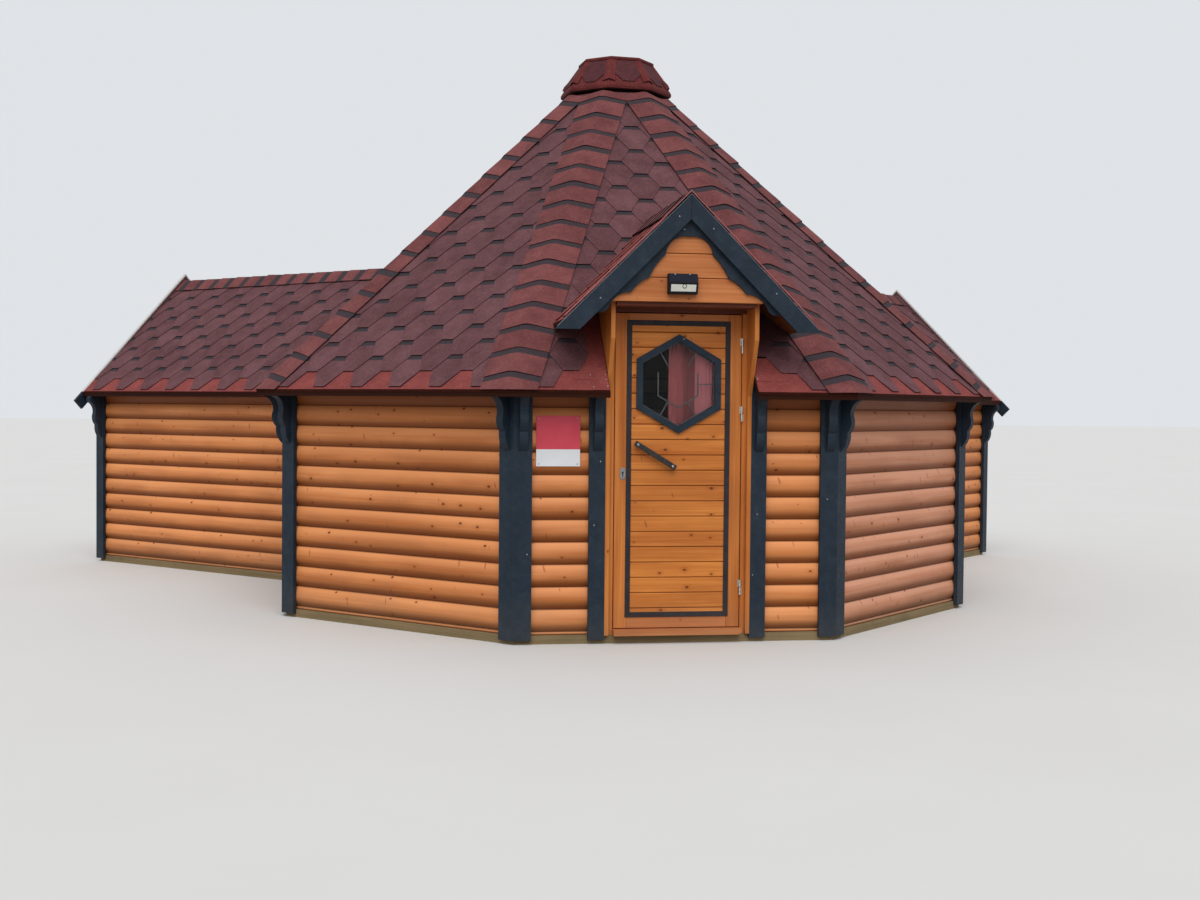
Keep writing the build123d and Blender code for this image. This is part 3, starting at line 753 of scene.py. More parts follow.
# beside the door the strip below the tiles shows, and a plain strip runs up the left cheek
FLASHING_LIFT, PATCH_WIDE = 2 * TAB_THICK - 0.002, 0.20
bm = tile_mesh()
front = octagon_slope(0.0)
for start, end in ((-CHEEK - PATCH_WIDE, -flashing), (beside_cheek, CHEEK + PATCH_WIDE)):
    patch = rectangle(start, end, FIRST_TAB + 0.5 * TAB_STEP, 2.2 * TAB_STEP)
    shingle(bm, front, patch, lambda b: FLASHING_LIFT, tone=0.6)
run_up = [(-flashing, STARTER_FROM), (-beside_cheek, STARTER_FROM), (-beside_cheek, 0.90),
          (-flashing, 0.79)]
shingle(bm, front, run_up, lambda b: FLASHING_LIFT, tone=0.4)
make("cheek_flashing", bm, "hut", [eave_tile, edge])

# side rooms: out = ROOM_OUT - side * a, distance from the ridge = ROOM_HALF - b / ROOM_STRETCH
own_valley = (-1.0, ROOM_FALL / ROOM_STRETCH, APEX - ROOM_RIDGE + ROOM_FALL * ROOM_HALF - ROOM_OUT)
turned_fall = ROOM_FALL * ROOT - 1.0
next_valley = (-1.0, turned_fall / ROOM_STRETCH,
               (APEX - ROOM_RIDGE) * ROOT + turned_fall * ROOM_HALF - ROOM_OUT)
for angle, label in ((LEFT, "left"), (RIGHT, "right")):
    for side in (-1, 1):
        slope = gabled_slope(angle, side, ROOM_RIDGE, ROOM_HALF, ROOM_FALL, ROOM_OUT)
        rise = ROOM_HALF * ROOM_STRETCH
        limits = mirrored(side, (-1.0, 0.0, 0.0), (1.0, 0.0, ROOM_TILED), (0.0, 1.0, rise))
        cover_slope(label + ("_room_a" if side < 0 else "_room_b"), slope, limits,
                    mirrored(side, own_valley, next_valley), ROOM_TILED, rise, 0.002)

# gable over the door, tiled in the brighter strip
gable_valley = (-1.0, 1.0 / ROOT, APEX - GABLE_RIDGE + GABLE_HALF - GABLE_OUT)
for side in (-1, 1):
    slope = gabled_slope(0.0, side, GABLE_RIDGE, GABLE_HALF, 1.0, GABLE_OUT)
    limits = mirrored(side, (-1.0, 0.0, -0.002), (1.0, 0.0, GABLE_TILED), (0.0, 1.0, GABLE_HALF * ROOT))
    hole = mirrored(side, gable_valley)
    bm = tile_mesh()
    lay_tiles(bm, slope, limits, hole, GABLE_TILED, GABLE_HALF * ROOT, 0.005)
    lay_starter(bm, slope, limits, hole, GABLE_TILED, 0.005)
    make("tiles_gable_" + ("a" if side < 0 else "b"), bm, "hut", [eave_tile, edge])


def thick_sheet(bm, top, under):
    """Joins two grids of corners, one below the other, into a sheet with dark edges."""
    for a, b, c, d in zip(top, top[1:], under, under[1:]):
        for n in range(len(a) - 1):
            bm.faces.new((a[n], b[n], b[n + 1], a[n + 1]))
            bm.faces.new((c[n + 1], d[n + 1], d[n], c[n]))
        bm.faces.new((c[0], d[0], b[0], a[0])).material_index = 1
        bm.faces.new((a[-1], b[-1], d[-1], c[-1])).material_index = 1
    for a, c in ((top[0], under[0]), (top[-1], under[-1])):
        for n in range(len(a) - 1):
            bm.faces.new((a[n], c[n], c[n + 1], a[n + 1])).material_index = 1


def lay_caps(name, foot, top, left, right, sizes, first, base, low=lambda q: 0.0, high=lambda q: 9.0):
    """Bent cap tiles along a hip or ridge between the normals of two slopes; sizes: step, band and wing.

    low and high say, for a distance q from the bend, where up the line a cap may start and end.
    """
    step, band, wing = sizes
    bm = tile_mesh()
    up = (top - foot).normalized()
    length = (top - foot).length
    left_wing, right_wing = -up.cross(left), up.cross(right)
    middle = (left + right).normalized()
    stretch = 1.0 / middle.dot(right)
    cuts = [-wing, -0.5 * wing, -CAP_BEND, -CAP_BEND / 2, 0.0, CAP_BEND / 2, CAP_BEND, 0.5 * wing, wing]

    def point(q, p, lift):
        if q >= CAP_BEND:
            offset = q * right_wing + lift * right
        elif q <= -CAP_BEND:
            offset = -q * left_wing + lift * left
        else:
            share = (q + CAP_BEND) / (2 * CAP_BEND)
            a = CAP_BEND * left_wing + lift * left
            b = lift * stretch * middle
            c = CAP_BEND * right_wing + lift * right
            offset = (1 - share) ** 2 * a + 2 * share * (1 - share) * b + share ** 2 * c
        return foot + p * up + offset

    start = first - step
    while start < length:
        tone = chance.random()
        raised = base + chance.uniform(0.0, CAP_UNEVEN)
        askew = chance.uniform(-CAP_ASKEW, CAP_ASKEW)
        shifted = chance.uniform(-CAP_SHIFT, CAP_SHIFT)
        bulge = chance.uniform(0.0, CAP_BULGE)
        upper, under = [], []
        for q in cuts:
            p0 = max(start + shifted + askew * q, low(q))
            p1 = min(start + step + CAP_HIDDEN, length, high(q))
            if p1 - p0 < CAP_LEAST:
                continue
            lifts = [(p, raised + CAP_THICK * (2.0 - (p - start) / step)
                      + (bulge * (1.0 - abs(q) / wing) if p < start + step else 0.0)) for p in (p0, p1)]
            upper.append([(point(q, p, lift), tone, p - (start + step - band)) for p, lift in lifts])
            under.append([(point(q, p, lift - CAP_THICK), tone) for p, lift in lifts])
        if len(upper) > 1:
            thick_sheet(bm, *([[tile_corner(bm, *one) for one in line] for line in grid]
                              for grid in (upper, under)))
        start += step
    make(name, bm, "hut", [cap_tile, edge])


HIP_LIFT, RIDGE_LIFT, GABLE_LIFT = 0.013, 0.014, 0.020
valley_lean = 1.0 / math.tan(math.atan(1.0 / (ROOT * ROOM_FALL)) - math.atan(HIP_LEAN))
room_hip_end = (EAVE_OUT - (APEX - ROOM_RIDGE) / (1.0 - ROOM_FALL * TAN)) * math.hypot(REACH, 1.0)
for number, hip in enumerate((22.5, -22.5, 67.5, -67.5, 112.5, -112.5, 157.5, -157.5)):
    foot = at(hip, 0.0, EAVE_OUT * REACH, EAVE_HIGH)
    top = at(hip, 0.0, COWL_OUT * REACH, APEX - COWL_OUT)
    left, right = octagon_slope(hip + 22.5).normal, octagon_slope(hip - 22.5).normal
    first, low = FIRST_HIP, lambda q: HIP_LEAN * abs(q)
    if abs(hip) > 90.0:
        # these hips end where the ridge side of a room's valley meets them
        own = -1.0 if abs(hip + 22.5) == LEFT else 1.0
        first, low = room_hip_end, lambda q: room_hip_end + valley_lean * max(0.0, own * q)
    lay_caps("hip_caps_%d" % number, foot, top, left, right, HIP_SIZES, first, HIP_LIFT, low)

room_long = ROOM_OUT - (APEX - ROOM_RIDGE)
for angle, label in ((LEFT, "left"), (RIGHT, "right")):
    foot, top = at(angle, 0.0, ROOM_OUT, ROOM_RIDGE), at(angle, 0.0, APEX - ROOM_RIDGE, ROOM_RIDGE)
    left, right = (at(angle, side * ROOM_FALL, 0.0, 1.0).normalized() for side in (-1, 1))
    lay_caps("ridge_caps_" + label, foot, top, left, right, RIDGE_SIZES, FIRST_RIDGE, RIDGE_LIFT,
             high=lambda q: room_long - ROOM_FALL * abs(q) / ROOM_STRETCH)
foot, top = at(0.0, 0.0, GABLE_OUT - 0.002, GABLE_RIDGE), at(0.0, 0.0, APEX - GABLE_RIDGE, GABLE_RIDGE)
left, right = (Vector((side, 0.0, 1.0)).normalized() for side in (-1.0, 1.0))
gable_long = GABLE_OUT - 0.002 - (APEX - GABLE_RIDGE)
lay_caps("gable_caps", foot, top, left, right, HIP_SIZES, FIRST_GABLE, GABLE_LIFT,
         high=lambda q: gable_long - abs(q) / ROOT)

# folded edge along every eave
EDGE_LOW, EDGE_HIGH, EDGE_THICK = EAVE_HIGH - 0.004, EAVE_HIGH + 0.013, 0.003
ROOM_FOOT = ROOT * EAVE_OUT - ROOM_HALF


def eave_edge(bm, path):
    """A folded strip along points (angle, across, out), its outside to the right of the way it runs."""
    path = [at(*point, 0.0).to_2d() for point in path]
    rings = []
    for n, here in enumerate(path):
        near = path[max(n - 1, 0):n + 2]
        ways = [(b - a).normalized() for a, b in zip(near, near[1:])]
        sides = [Vector((way.y, -way.x)) for way in ways]
        middle = sum(sides, Vector((0.0, 0.0))).normalized()
        there = here + middle * (EDGE_THICK / middle.dot(sides[0]))
        rings.append([bm.verts.new((p.x, p.y, level)) for p, level in (
            (here, EDGE_LOW), (here, EDGE_HIGH), (there, EDGE_HIGH), (there, EDGE_LOW))])
    loft(bm, rings)


def room_eave(angle, side):
    """The eave of a side room, from its end to the octagon."""
    return [(angle, side * ROOM_HALF, ROOM_OUT), (angle, side * ROOM_HALF, ROOM_FOOT)]


bm = bmesh.new()
corner, cheek_end = EAVE_OUT * REACH, CHEEK + 0.002
eave_edge(bm, room_eave(LEFT, 1) + [(67.5, 0.0, corner), (22.5, 0.0, corner), (0.0, -cheek_end, EAVE_OUT)])
eave_edge(bm, [(0.0, cheek_end, EAVE_OUT), (-22.5, 0.0, corner), (-67.5, 0.0, corner)]
          + room_eave(RIGHT, -1)[::-1])
eave_edge(bm, room_eave(RIGHT, 1) + room_eave(LEFT, -1)[::-1])
gable_eave = GABLE_RIDGE - GABLE_HALF
for side in (-1, 1):
    block(bm, side * GABLE_HALF, side * (GABLE_HALF + EDGE_THICK), APEX - gable_eave,
          GABLE_OUT - BARGE_THICK, gable_eave - 0.010, gable_eave + 0.012)
make("drip_edges", bm, "hut", [drip_metal])


def rake(bm, angle, peak, reach, low, high, near, far):
    """A strip up both edges of a gable; low and high are measured upright from the line of the edge."""
    for side in (-1, 1):
        middle = side * 0.0004
        prism(bm, [(middle, peak + low), (side * reach, peak - reach + low),
                   (side * reach, peak - reach + high), (middle, peak + high)], near, far, angle)


# folded metal at the ends of the roofs: on the boards, and under the tiles of the gable
peak, room_peak = GABLE_RIDGE + BARGE_PROUD, EAVE_HIGH + ROOM_HALF + BARGE_PROUD
board_reach = GABLE_HALF + 0.04
bm = bmesh.new()
rake(bm, 0.0, peak, board_reach, 0.0, 0.003, GABLE_OUT - BARGE_THICK, GABLE_OUT)
rake(bm, 0.0, peak, board_reach, -0.001, 0.003, GABLE_OUT, GABLE_OUT + 0.0022)
make("verge_strip_boards", bm, "hut", [grey_metal])
bm = bmesh.new()
for angle in (LEFT, RIGHT):
    rake(bm, angle, room_peak, ROOM_HALF, 0.0002, 0.0035, ROOM_OUT - 0.006, ROOM_OUT + BARGE_THICK)
    rake(bm, angle, room_peak, ROOM_HALF, -0.012, 0.0002, ROOM_OUT - 0.006, ROOM_OUT - 0.0042)
make("verge_strips", bm, "hut", [verge_metal])
bm = bmesh.new()
rake(bm, 0.0, peak, GABLE_HALF, 0.0165, 0.0245, GABLE_OUT - 0.012, GABLE_OUT)
make("verge_strip_gable", bm, "hut", [red_metal])

# tiles turned up against the end boards of the side rooms
bm = tile_mesh()
for angle in (LEFT, RIGHT):
    for side in (-1, 1):
        prism(bm, [(side * 0.0002, ROOM_RIDGE), (side * ROOM_HALF, EAVE_HIGH),
                   (side * ROOM_HALF, room_peak - ROOM_HALF), (side * 0.0002, room_peak)],
              ROOM_OUT - 0.004, ROOM_OUT, angle)
for vertex in bm.verts:
    vertex[bm.verts.layers.float["band"]] = -1.0
    vertex[bm.verts.layers.float["tone"]] = 0.4
make("verge_tiles", bm, "hut", [field_tile])

# smoke cowl, turned a little against the roof: a rounded rim, a panel on each side, a strip on each corner
COWL_TURN = -5.5
COWL_LOW, COWL_HIGH = (0.364, 3.664), (0.244, 3.846)
COWL_PROFILE = [(0.345, 3.626), (0.352, 3.617), (0.362, 3.616), (0.372, 3.622), (0.376, 3.634),
                (0.374, 3.647), COWL_LOW, COWL_HIGH, (0.236, 3.850)]
LID_PROFILE = [(0.210, 3.846), (0.250, 3.846), (0.2545, 3.850), (0.2545, 3.866), (0.249, 3.871),
               (0.180, 3.8825)]
COWL_SHADE_LEVEL = 3.624
cowl_rise, cowl_in = COWL_HIGH[1] - COWL_LOW[1], COWL_LOW[0] - COWL_HIGH[0]
cowl_slant = math.hypot(cowl_rise, cowl_in)


def cowl_face(number):
    """A sloping side of the cowl, from its rim up."""
    angle = 45.0 * number + COWL_TURN
    return Slope(at(angle, 0.0, *COWL_LOW), at(angle, 1.0, 0.0, 0.0), at(angle, 0.0, -cowl_in, cowl_rise))


def cowl_corner(number, half, level):
    """A corner of the cowl where its sides stand this far from its middle."""
    return at(22.5 + 45.0 * number + COWL_TURN, 0.0, half * REACH, level)


def octagon_loft(bm, profile):
    """Rings of eight corners on each other, from (distance to a side, level) pairs."""
    loft(bm, [[tile_corner(bm, cowl_corner(n, *one)) for n in range(8)] for one in profile])


bm = tile_mesh()
octagon_loft(bm, COWL_PROFILE)
# painted shade: faces of the rim below this level take the dark edge material
for face in bm.faces:
    face.material_index = 1 if face.calc_center_median().z < COWL_SHADE_LEVEL else 0
cowl = make("cowl_shell", bm, "hut", [cowl_tile, edge], sharp=30.0)
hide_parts("smoke_cowl")
bm = tile_mesh()
octagon_loft(bm, LID_PROFILE)
make("cowl_lid", bm, "hut", [cowl_tile], sharp=50.0)
bm = tile_mesh()
for number in range(8):
    panel = [(-0.040, 0.014), (0.040, 0.014), (0.092, 0.076), (0.082, cowl_slant - 0.004),
             (-0.082, cowl_slant - 0.004), (-0.092, 0.076)]
    shingle(bm, cowl_face(number), panel, lambda b: 0.006, tone=0.2 + 0.5 * chance.random())
make("cowl_panels", bm, "hut", [panel_tile, edge])


# (across, how far it is puffed up there) and (along, puff, share of the width) of a strip on the cowl
STRIP_ACROSS = ((-0.036, 0.0), (-0.026, 0.35), (-0.012, 0.8), (0.0, 1.0), (0.012, 0.8), (0.026, 0.35),
                (0.036, 0.0))
STRIP_ALONG = ((0.0, 0.008, 1.30), (0.028, 0.013, 1.20), (0.070, 0.007, 1.05))
STRIP_HEAD, STRIP_LIFT, STRIP_THICK = (0.005, 0.92), 0.0060, 0.0065


def cowl_strip(bm, number):
    """A strip over one corner of the cowl, puffed up at its foot."""
    foot = cowl_corner(number, COWL_LOW[0] - 0.010, COWL_LOW[1] + 0.016)
    top = cowl_corner(number, *COWL_HIGH)
    up = (top - foot).normalized()
    left, right = cowl_face(number + 1).normal, cowl_face(number).normal
    middle = (left + right).normalized()
    tone = chance.random()
    upper, under = [], []
    for q, flare in STRIP_ACROSS:
        normal = left if q < 0 else right if q > 0 else middle
        wing = up.cross(right if q >= 0 else left) * q
        line = [(foot + p * up + wing * grow + normal * (STRIP_LIFT + puff * flare), puff)
                for p, puff, grow in (*STRIP_ALONG, ((top - foot).length, *STRIP_HEAD))]
        upper.append([tile_corner(bm, place, tone) for place, puff in line])
        under.append([tile_corner(bm, place - normal * (STRIP_THICK + 0.5 * puff * flare), tone)
                      for place, puff in line])
    thick_sheet(bm, upper, under)


bm = tile_mesh()
for number in range(8):
    cowl_strip(bm, number)
make("cowl_strips", bm, "hut", [cowl_tile, edge], sharp=50.0)

# three level boards in the gable
GABLE_JOINTS, GABLE_GAP = (2.108, 2.246), 0.0018
bm = bmesh.new()
half, top = CHEEK + 0.005, GABLE_RIDGE - SLAB
gable_shape = [(-half, GABLE_LOW), (half, GABLE_LOW), (half, top - half), (0.0, top), (-half, top - half)]
levels = [GABLE_LOW - 1.0, *GABLE_JOINTS, top + 1.0]
for low, high in zip(levels, levels[1:]):
    shape = inside(gable_shape, [(0.0, 1.0, high - GABLE_GAP), (0.0, -1.0, -low - GABLE_GAP)])
    prism(bm, shape, GABLE_FRONT - 0.025, GABLE_FRONT)
gable = soften(make("gable_boards", bm, "hut", [head_wood]), 0.004)
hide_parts("gable_board")

# door: a flat frame round level boards, cut for the window
LEAF, LEAF_LOW, LEAF_HIGH = 0.375, 0.088, 1.920
LEAF_BACK = APOTHEM - 0.045
TRIM_X, TRIM_LOW, TRIM_HIGH, TRIM_WIDE = 0.308, 0.151, 1.880, 0.030
RAIL_LAP, BOARD_GAP, BOARD_GROOVE = 0.010, 0.0002, 0.0050
WINDOW_UP, WINDOW_HOLE = 1.512, 0.254


def on_window(radius, degrees):
    """(across, up) at a distance and an angle from the middle of the window; 0 is above, 90 right."""
    turned = math.radians(degrees)
    return radius * math.sin(turned), WINDOW_UP + radius * math.cos(turned)


def cut_window(piece):
    """Cuts the six-sided hole for the window through a piece of the leaf."""
    bm = bmesh.new()
    prism(bm, [on_window(WINDOW_HOLE, -60.0 * n) for n in range(6)], LEAF_BACK - 0.02, APOTHEM + 0.02)
    cutter = drawn("window_cutter", bm)
    hole = piece.modifiers.new("window", "BOOLEAN")
    hole.operation = "DIFFERENCE"
    hole.solver = "EXACT"
    hole.object = cutter
    bpy.context.view_layer.update()
    shaped = bpy.data.meshes.new_from_object(piece.evaluated_get(bpy.context.evaluated_depsgraph_get()))
    shaped.name = piece.name
    piece.modifiers.clear()
    piece.data = shaped
    # removing its mesh removes the cutter too
    bpy.data.meshes.remove(cutter.data)


bm = bmesh.new()
for side in (-1, 1):
    block(bm, side * (TRIM_X - RAIL_LAP), side * LEAF, LEAF_BACK, APOTHEM, LEAF_LOW, LEAF_HIGH)
soften(make("door_stiles", bm, "door", [post_wood]), 0.002)
board_half = TRIM_X - RAIL_LAP - 0.0005
board_low, board_high = TRIM_LOW + RAIL_LAP, TRIM_HIGH - RAIL_LAP
bm = bmesh.new()
for low, high in ((LEAF_LOW, board_low - BOARD_GAP), (board_high + BOARD_GAP, LEAF_HIGH)):
    block(bm, -board_half, board_half, LEAF_BACK, APOTHEM - 0.0005, low, high)
soften(make("door_rails", bm, "door", [head_wood]), 0.002)
first = math.ceil((board_low + 0.01 - BOARD_JOINT) / BOARD_PITCH)
last = math.floor((board_high - 0.01 - BOARD_JOINT) / BOARD_PITCH)
joints = [board_low, *(BOARD_JOINT + n * BOARD_PITCH for n in range(first, last + 1)), board_high]
bm = bmesh.new()
near, far = LEAF_BACK, APOTHEM - 0.001
for low, high in zip(joints, joints[1:]):
    low, high = low + BOARD_GAP, high - BOARD_GAP
    section = [(near, low), (far - BOARD_GROOVE, low), (far, low + BOARD_GROOVE),
               (far, high - BOARD_GROOVE), (far - BOARD_GROOVE, high), (near, high)]
    loft(bm, [[bm.verts.new((x, -out, up)) for out, up in section] for x in (-board_half, board_half)])
boards = make("door_boards", bm, "door", [plank_wood], sharp=20.0)
cut_window(boards)
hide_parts("door_leaf")

# dark inlaid line round the boards
bm = bmesh.new()
inner = TRIM_X - TRIM_WIDE
for x0, x1, low, high in ((-TRIM_X, -inner, TRIM_LOW, TRIM_HIGH), (inner, TRIM_X, TRIM_LOW, TRIM_HIGH),
                          (-inner, inner, TRIM_LOW, TRIM_LOW + TRIM_WIDE),
                          (-inner, inner, TRIM_HIGH - TRIM_WIDE, TRIM_HIGH)):
    block(bm, x0, x1, APOTHEM - 0.002, APOTHEM + 0.004, low, high)
soften(make("door_inlay", bm, "door", [inlay_paint]), 0.0012)

# leaded lines and the bead of the window
GLASS_OUT, GLASS_THICK = APOTHEM - 0.0165, 0.006
LEAD_RING, LEAD_EDGE, LEAD_WIDE, LEAD_THICK = 0.137, 0.246, 0.0065, 0.0035
BEAD_OUTER, BEAD_INNER, BEAD_THICK = 0.2468, 0.2410, 0.008


def lead_line(bm, start, end):
    """A flat lead strip between two points of the pane, on both of its faces."""
    start, end = Vector(start), Vector(end)
    aside = Vector((start.y - end.y, end.x - start.x)).normalized() * LEAD_WIDE / 2
    shape = [start - aside, end - aside, end + aside, start + aside]
    prism(bm, shape, GLASS_OUT, GLASS_OUT + LEAD_THICK)
    prism(bm, shape, GLASS_OUT - GLASS_THICK - LEAD_THICK, GLASS_OUT - GLASS_THICK)


bm = bmesh.new()
flat_share = math.cos(math.radians(30.0))
for n in range(6):
    # the ring is open above and to the left
    start, end = 60.0 * n, 60.0 * (n + 1)
    if n not in (0, 5):
        lead_line(bm, on_window(LEAD_RING, start), on_window(LEAD_RING, end))
    if n != 4:
        lead_line(bm, on_window(LEAD_RING * flat_share, start + 30.0),
                  on_window(LEAD_EDGE * flat_share, start + 30.0))
    prism(bm, [on_window(BEAD_OUTER, start), on_window(BEAD_OUTER, end), on_window(BEAD_INNER, end),
               on_window(BEAD_INNER, start)], GLASS_OUT, GLASS_OUT + BEAD_THICK)
soften(make("window_leads", bm, "door", [lead]), 0.0008, 1)

# strap handle on two round posts, its bolts, and the oval lock plate with its keyhole
HANDLE = (Vector((-0.243, 1.158)), Vector((-0.037, 1.033)))
POST_RADIUS, STRAP_BACK, STRAP_FRONT, STRAP_WIDE, STRAP_PAST = 0.009, 0.030, 0.040, 0.031, 0.021
LOCK_X, LOCK_UP, LOCK_WIDE, LOCK_TALL, KEY_RADIUS = -0.327, 0.989, 0.035, 0.070, 0.0065
along = (HANDLE[1] - HANDLE[0]).normalized()
aside = Vector((-along.y, along.x)) * STRAP_WIDE / 2
bm = bmesh.new()
ends = [HANDLE[0] - along * STRAP_PAST, HANDLE[1] + along * STRAP_PAST]
prism(bm, [ends[0] - aside, ends[1] - aside, ends[1] + aside, ends[0] + aside],
      APOTHEM + STRAP_BACK, APOTHEM + STRAP_FRONT)
for x, up in HANDLE:
    prism(bm, [(x + POST_RADIUS * c, up + POST_RADIUS * s) for c, s in circle(16)],
          APOTHEM, APOTHEM + STRAP_BACK)
strap_piece = soften(make("door_strap", bm, "door", [black_iron]), 0.0025)
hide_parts("door_handle")
ahead = (0.0, -1.0, 0.0)
bm = bmesh.new()
for x, up in HANDLE:
    dome(bm, (x, -APOTHEM - STRAP_FRONT, up), ahead, 0.0085, 0.004, 14)
for grow, near, far in ((1.0, 0.0, 0.003), (0.80, 0.003, 0.005)):
    round_end = grow * LOCK_WIDE / 2
    oval = []
    for n in range(24):
        a = math.pi * n / 12
        straight = (LOCK_TALL - LOCK_WIDE) / (2 if n <= 12 else -2)
        oval.append((LOCK_X + round_end * math.cos(a), LOCK_UP + straight + round_end * math.sin(a)))
    prism(bm, oval, APOTHEM + near, APOTHEM + far)
soften(make("lock_plate", bm, "door", [dull_steel]), 0.0008)
bm = bmesh.new()
keyhole = [(LOCK_X + KEY_RADIUS * math.cos(a), LOCK_UP + 0.006 + KEY_RADIUS * math.sin(a))
           for a in (math.radians(-60.0 + 25.0 * n) for n in range(13))]
keyhole += [(LOCK_X - 0.0035, LOCK_UP - 0.016), (LOCK_X + 0.0035, LOCK_UP - 0.016)]
prism(bm, keyhole, APOTHEM + 0.005, APOTHEM + 0.0056)
make("lock_cylinder", bm, "door", [black_iron])

# lamp: a dark case, a ribbed lens leaning out, a sensor under its middle and a dark panel above
LAMP_X, LAMP_UP = (-0.1245, 0.0445), 2.014
LAMP_PROFILE = [(0.0, 0.0), (0.038, 0.0), (0.058, 0.062), (0.030, 0.116), (0.0, 0.116)]


def lamp_face(start):
    """A sloping face of the case: across from its middle, and up its slant from a profile corner."""
    low, high = LAMP_PROFILE[start], LAMP_PROFILE[start + 1]
    origin = Vector((sum(LAMP_X) / 2, -GABLE_FRONT - low[0], LAMP_UP + low[1]))
    return Slope(origin, Vector((1.0, 0.0, 0.0)), Vector((0.0, low[0] - high[0], high[1] - low[1])))


def panel_on(bm, face, half, low, high, thick):
    """A thin panel on a face of the lamp, by its half width and its lower and upper edge."""
    loft(bm, [[bm.verts.new(face.point(a, b, lift)) for a, b in rectangle(-half, half, low, high)]
              for lift in (-0.001, thick)])


bm = bmesh.new()
loft(bm, [[bm.verts.new((x, -GABLE_FRONT - out, LAMP_UP + up)) for out, up in LAMP_PROFILE]
          for x in LAMP_X])
case = soften(make("lamp_case", bm, "hut", [lamp_black]), 0.003)
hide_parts("porch_lamp")
lens_face, top_face = lamp_face(1), lamp_face(2)
bm = bmesh.new()
panel_on(bm, lens_face, 0.072, 0.015, 0.055, 0.0012)
soften(make("lamp_lens", bm, "hut", [lamp_lens]), 0.0006, 1)
bm = bmesh.new()
panel_on(bm, top_face, 0.078, 0.006, 0.054, 0.0010)
make("lamp_panel", bm, "hut", [lamp_blue])
for name, lift, radius, height, coat in (("lamp_sensor_ring", 0.0010, 0.0135, 0.0008, lamp_black),
                                         ("lamp_sensor", 0.0012, 0.0096, 0.0022, lamp_lens)):
    bm = bmesh.new()
    dome(bm, lens_face.point(0.005, 0.045, lift), lens_face.normal, radius, height, 16)
    make(name, bm, "hut", [coat])

# screws: on the gable, on the posts and on the plate, and one on the window frame
bm = bmesh.new()
for x, up in ((-0.068, 2.447), (0.129, 2.383), (-0.513, 1.982), (0.499, 2.026)):
    dome(bm, (x, -GABLE_OUT, up), ahead, 0.0046, 0.0012)
dome(bm, (-0.031, -GABLE_FRONT - 0.018, 2.380), ahead, 0.0046, 0.002)
for x, up in ((-0.461, 1.059), (-0.496, 0.690), (0.474, 0.752), (0.450, 0.395), (-0.884, 0.524),
              (0.900, 0.840)):
    dome(bm, (x, -APOTHEM - BOARD_THICK, up), ahead, 0.0044, 0.002)
for x in (-0.818, -0.593):
    for up in (1.044, 1.308):
        dome(bm, (x, -APOTHEM - 0.004, up), ahead, 0.0045, 0.002)
for a in (-0.045, 0.040):
    dome(bm, top_face.point(a, 0.056, 0.0), top_face.normal, 0.0045, 0.002)
make("screws", bm, "hut", [dull_steel])
bm = bmesh.new()
for side, a, b in ((-1, 0.096, 0.038), (-1, 0.012, 0.047), (-1, 0.018, 0.098), (-1, 0.018, 0.138),
                   (-1, 0.104, 0.138), (1, 0.014, 0.120), (1, 0.040, 0.152)):
    place = front.point(side * (CHEEK + a), b, 2 * TAB_THICK + 0.0018)
    dome(bm, place, front.normal, 0.0042, 0.0012)
make("roof_nails", bm, "hut", [zinc])
bm = bmesh.new()
dome(bm, (0.026, -APOTHEM - 0.015, 1.7735), ahead, 0.0040, 0.002)
make("window_screw", bm, "door", [dull_steel])

# curtain behind the pane, on a rod between two small blocks
FOLD_TOP, FOLD_LOW = 1.797, 1.225
FOLD_LEFT, FOLD_RIGHT = -0.047, 0.262
FOLD_DEEP, HEM_DEEP = 0.0110, 0.0060
CURTAIN_OUT = LEAF_BACK - 0.027
ROD_UP, ROD_RADIUS, ROD_HALF = 1.800, 0.003, 0.270
COLUMNS, ROWS = 110, 26


def fold_depth(x, drop):
    """How far the cloth stands forward: broad folds, gathered finer towards the rod."""
    broad = math.cos(2 * math.pi * ((x - FOLD_CREST) / FOLD_WIDE + 0.03 * math.sin(3.0 * drop)))
    small = math.sin(2 * math.pi * (x / 0.052 + 0.5 * drop))
    fine = math.sin(2 * math.pi * (x / 0.021 + 0.2 * drop))
    lap = HEM_DEEP * min(1.0, max(0.0, (x - FOLD_HEM) / 0.004))
    gathered = 0.0026 * small + 0.0016 * fine * (1.0 - 0.6 * drop)
    return FOLD_DEEP * broad * (0.55 + 0.45 * drop) + gathered + lap


bm = bmesh.new()
grid = []
for row in range(ROWS + 1):
    drop = row / ROWS
    up = FOLD_TOP + (FOLD_LOW - FOLD_TOP) * drop
    across = [FOLD_LEFT + (FOLD_RIGHT - FOLD_LEFT) * column / COLUMNS for column in range(COLUMNS + 1)]
    grid.append([bm.verts.new((x, -CURTAIN_OUT - fold_depth(x, drop), up)) for x in across])
for upper, lower in zip(grid, grid[1:]):
    for n in range(COLUMNS):
        bm.faces.new((lower[n], lower[n + 1], upper[n + 1], upper[n]))
curtain = make("curtain", bm, "door", [curtain_cloth()], sharp=80.0, closed=False)
bm = bmesh.new()
loft(bm, [[bm.verts.new((x, -CURTAIN_OUT + ROD_RADIUS * c, ROD_UP + ROD_RADIUS * s))
           for c, s in circle(10)] for x in (-ROD_HALF, ROD_HALF)])
for x in (-ROD_HALF, ROD_HALF):
    block(bm, x - 0.003, x + 0.003, CURTAIN_OUT - 0.006, LEAF_BACK, ROD_UP - 0.008, ROD_UP + 0.008)
make("curtain_rod", bm, "door", [steel])

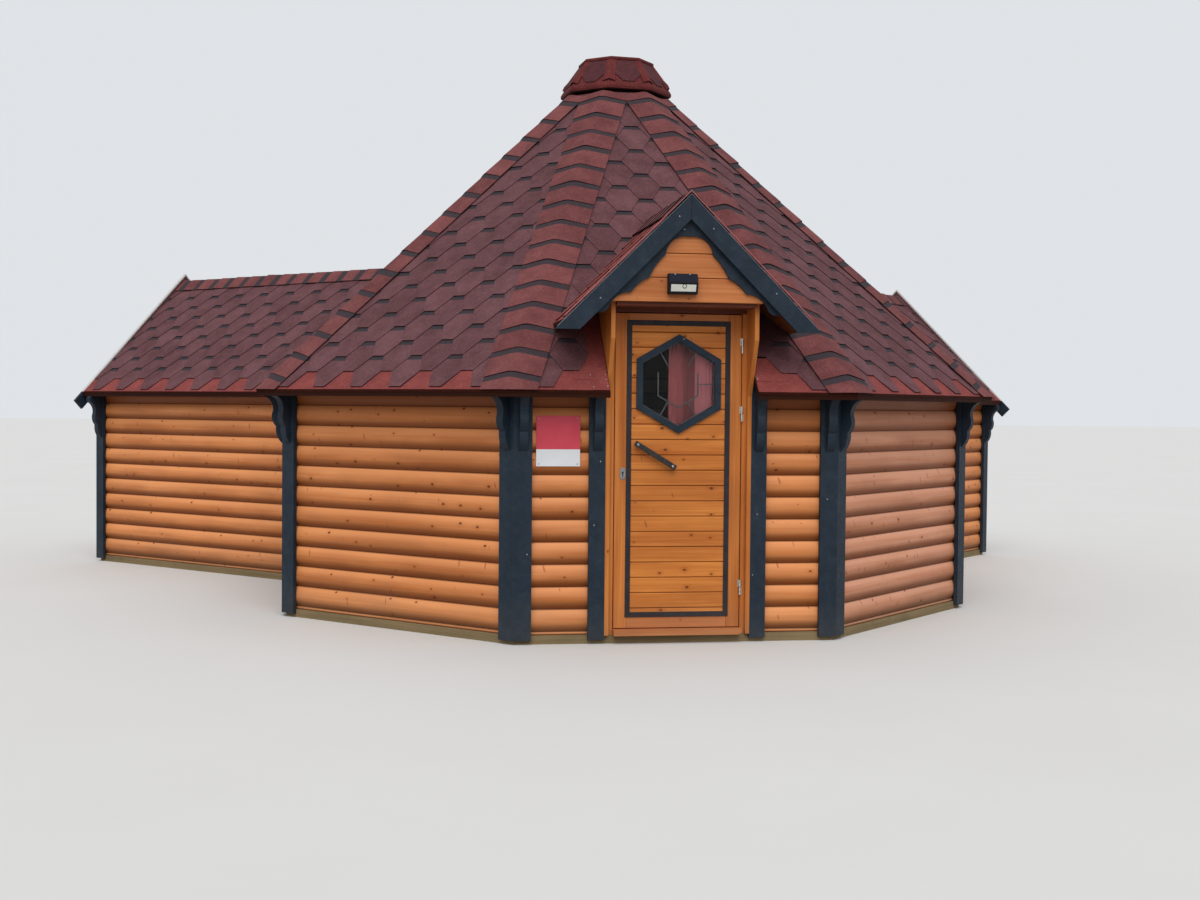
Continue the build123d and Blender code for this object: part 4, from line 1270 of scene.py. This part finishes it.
# camera as in the photograph
CAMERA_TURN, CAMERA_DIP, CAMERA_ROLL = 0.1590, 0.0284, 0.0091
CAMERA_AT, CAMERA_LENS = (-1.8445, -10.9292, 1.3735), 45.31
level = Vector((math.cos(CAMERA_TURN), -math.sin(CAMERA_TURN), 0.0))
ahead = Vector((math.sin(CAMERA_TURN), math.cos(CAMERA_TURN), 0.0))
look = math.cos(CAMERA_DIP) * ahead - Vector((0.0, 0.0, math.sin(CAMERA_DIP)))
sink = look.cross(level)
across = math.cos(CAMERA_ROLL) * level - math.sin(CAMERA_ROLL) * sink
sink = math.sin(CAMERA_ROLL) * level + math.cos(CAMERA_ROLL) * sink
camera_data = bpy.data.cameras.new("camera")
camera_data.lens = CAMERA_LENS
camera_data.sensor_width = 36.0
camera_data.clip_end = 300.0
camera = show("camera", camera_data)
facing = Matrix((across, -sink, -look)).transposed().to_4x4()
camera.matrix_world = Matrix.Translation(CAMERA_AT) @ facing
bpy.context.scene.camera = camera


def background_rays(web):
    """1 where the camera, a reflection or a view through glass looks, 0 for the light on the hut."""
    path = web.node("LightPath", {})
    return web.math("MAXIMUM", path["Is Camera Ray"],
                    web.math("MAXIMUM", path["Is Glossy Ray"], path["Is Transmission Ray"]))


# pale floor, pale surroundings and soft light from above
FLOOR_REACH = 120.0
bm = bmesh.new()
corners = rectangle(-FLOOR_REACH, FLOOR_REACH, -FLOOR_REACH, FLOOR_REACH)
bm.faces.new([bm.verts.new((*corner, 0.0)) for corner in corners])
floor_plane = drawn("floor_plane", bm, closed=False)
web = Coat("pale_floor", 0.2)
pale = web.layers((212, 210, 205), (web.film(0.6)["mottle"], (218, 216, 212)))
base = web.layers((150, 144, 134), (background_rays(web), pale))
floor_plane.data.materials.append(web.finish(base, 0.9))

SKY_STRENGTH, SKY_SEEN = 0.91, 0.05
world = bpy.data.worlds.new("surroundings")
bpy.context.scene.world = world
world.use_nodes = True
web = Web(world.node_tree)
background = world.node_tree.nodes["Background"]
seen = background_rays(web)
web.put(background.inputs["Color"], web.layers((222, 226, 234), (seen, (228, 231, 235))))
web.put(background.inputs["Strength"], seen * SKY_SEEN + SKY_STRENGTH)

sun = bpy.data.lights.new("high_soft", "SUN")
sun.energy = 1.68
sun.angle = math.radians(50.0)
sun.color = (1.0, 0.985, 0.96)
show("high_soft", sun).rotation_euler = (math.radians(42.0), 0.0, math.radians(-10.0))

bpy.context.scene.view_settings.view_transform = "Standard"
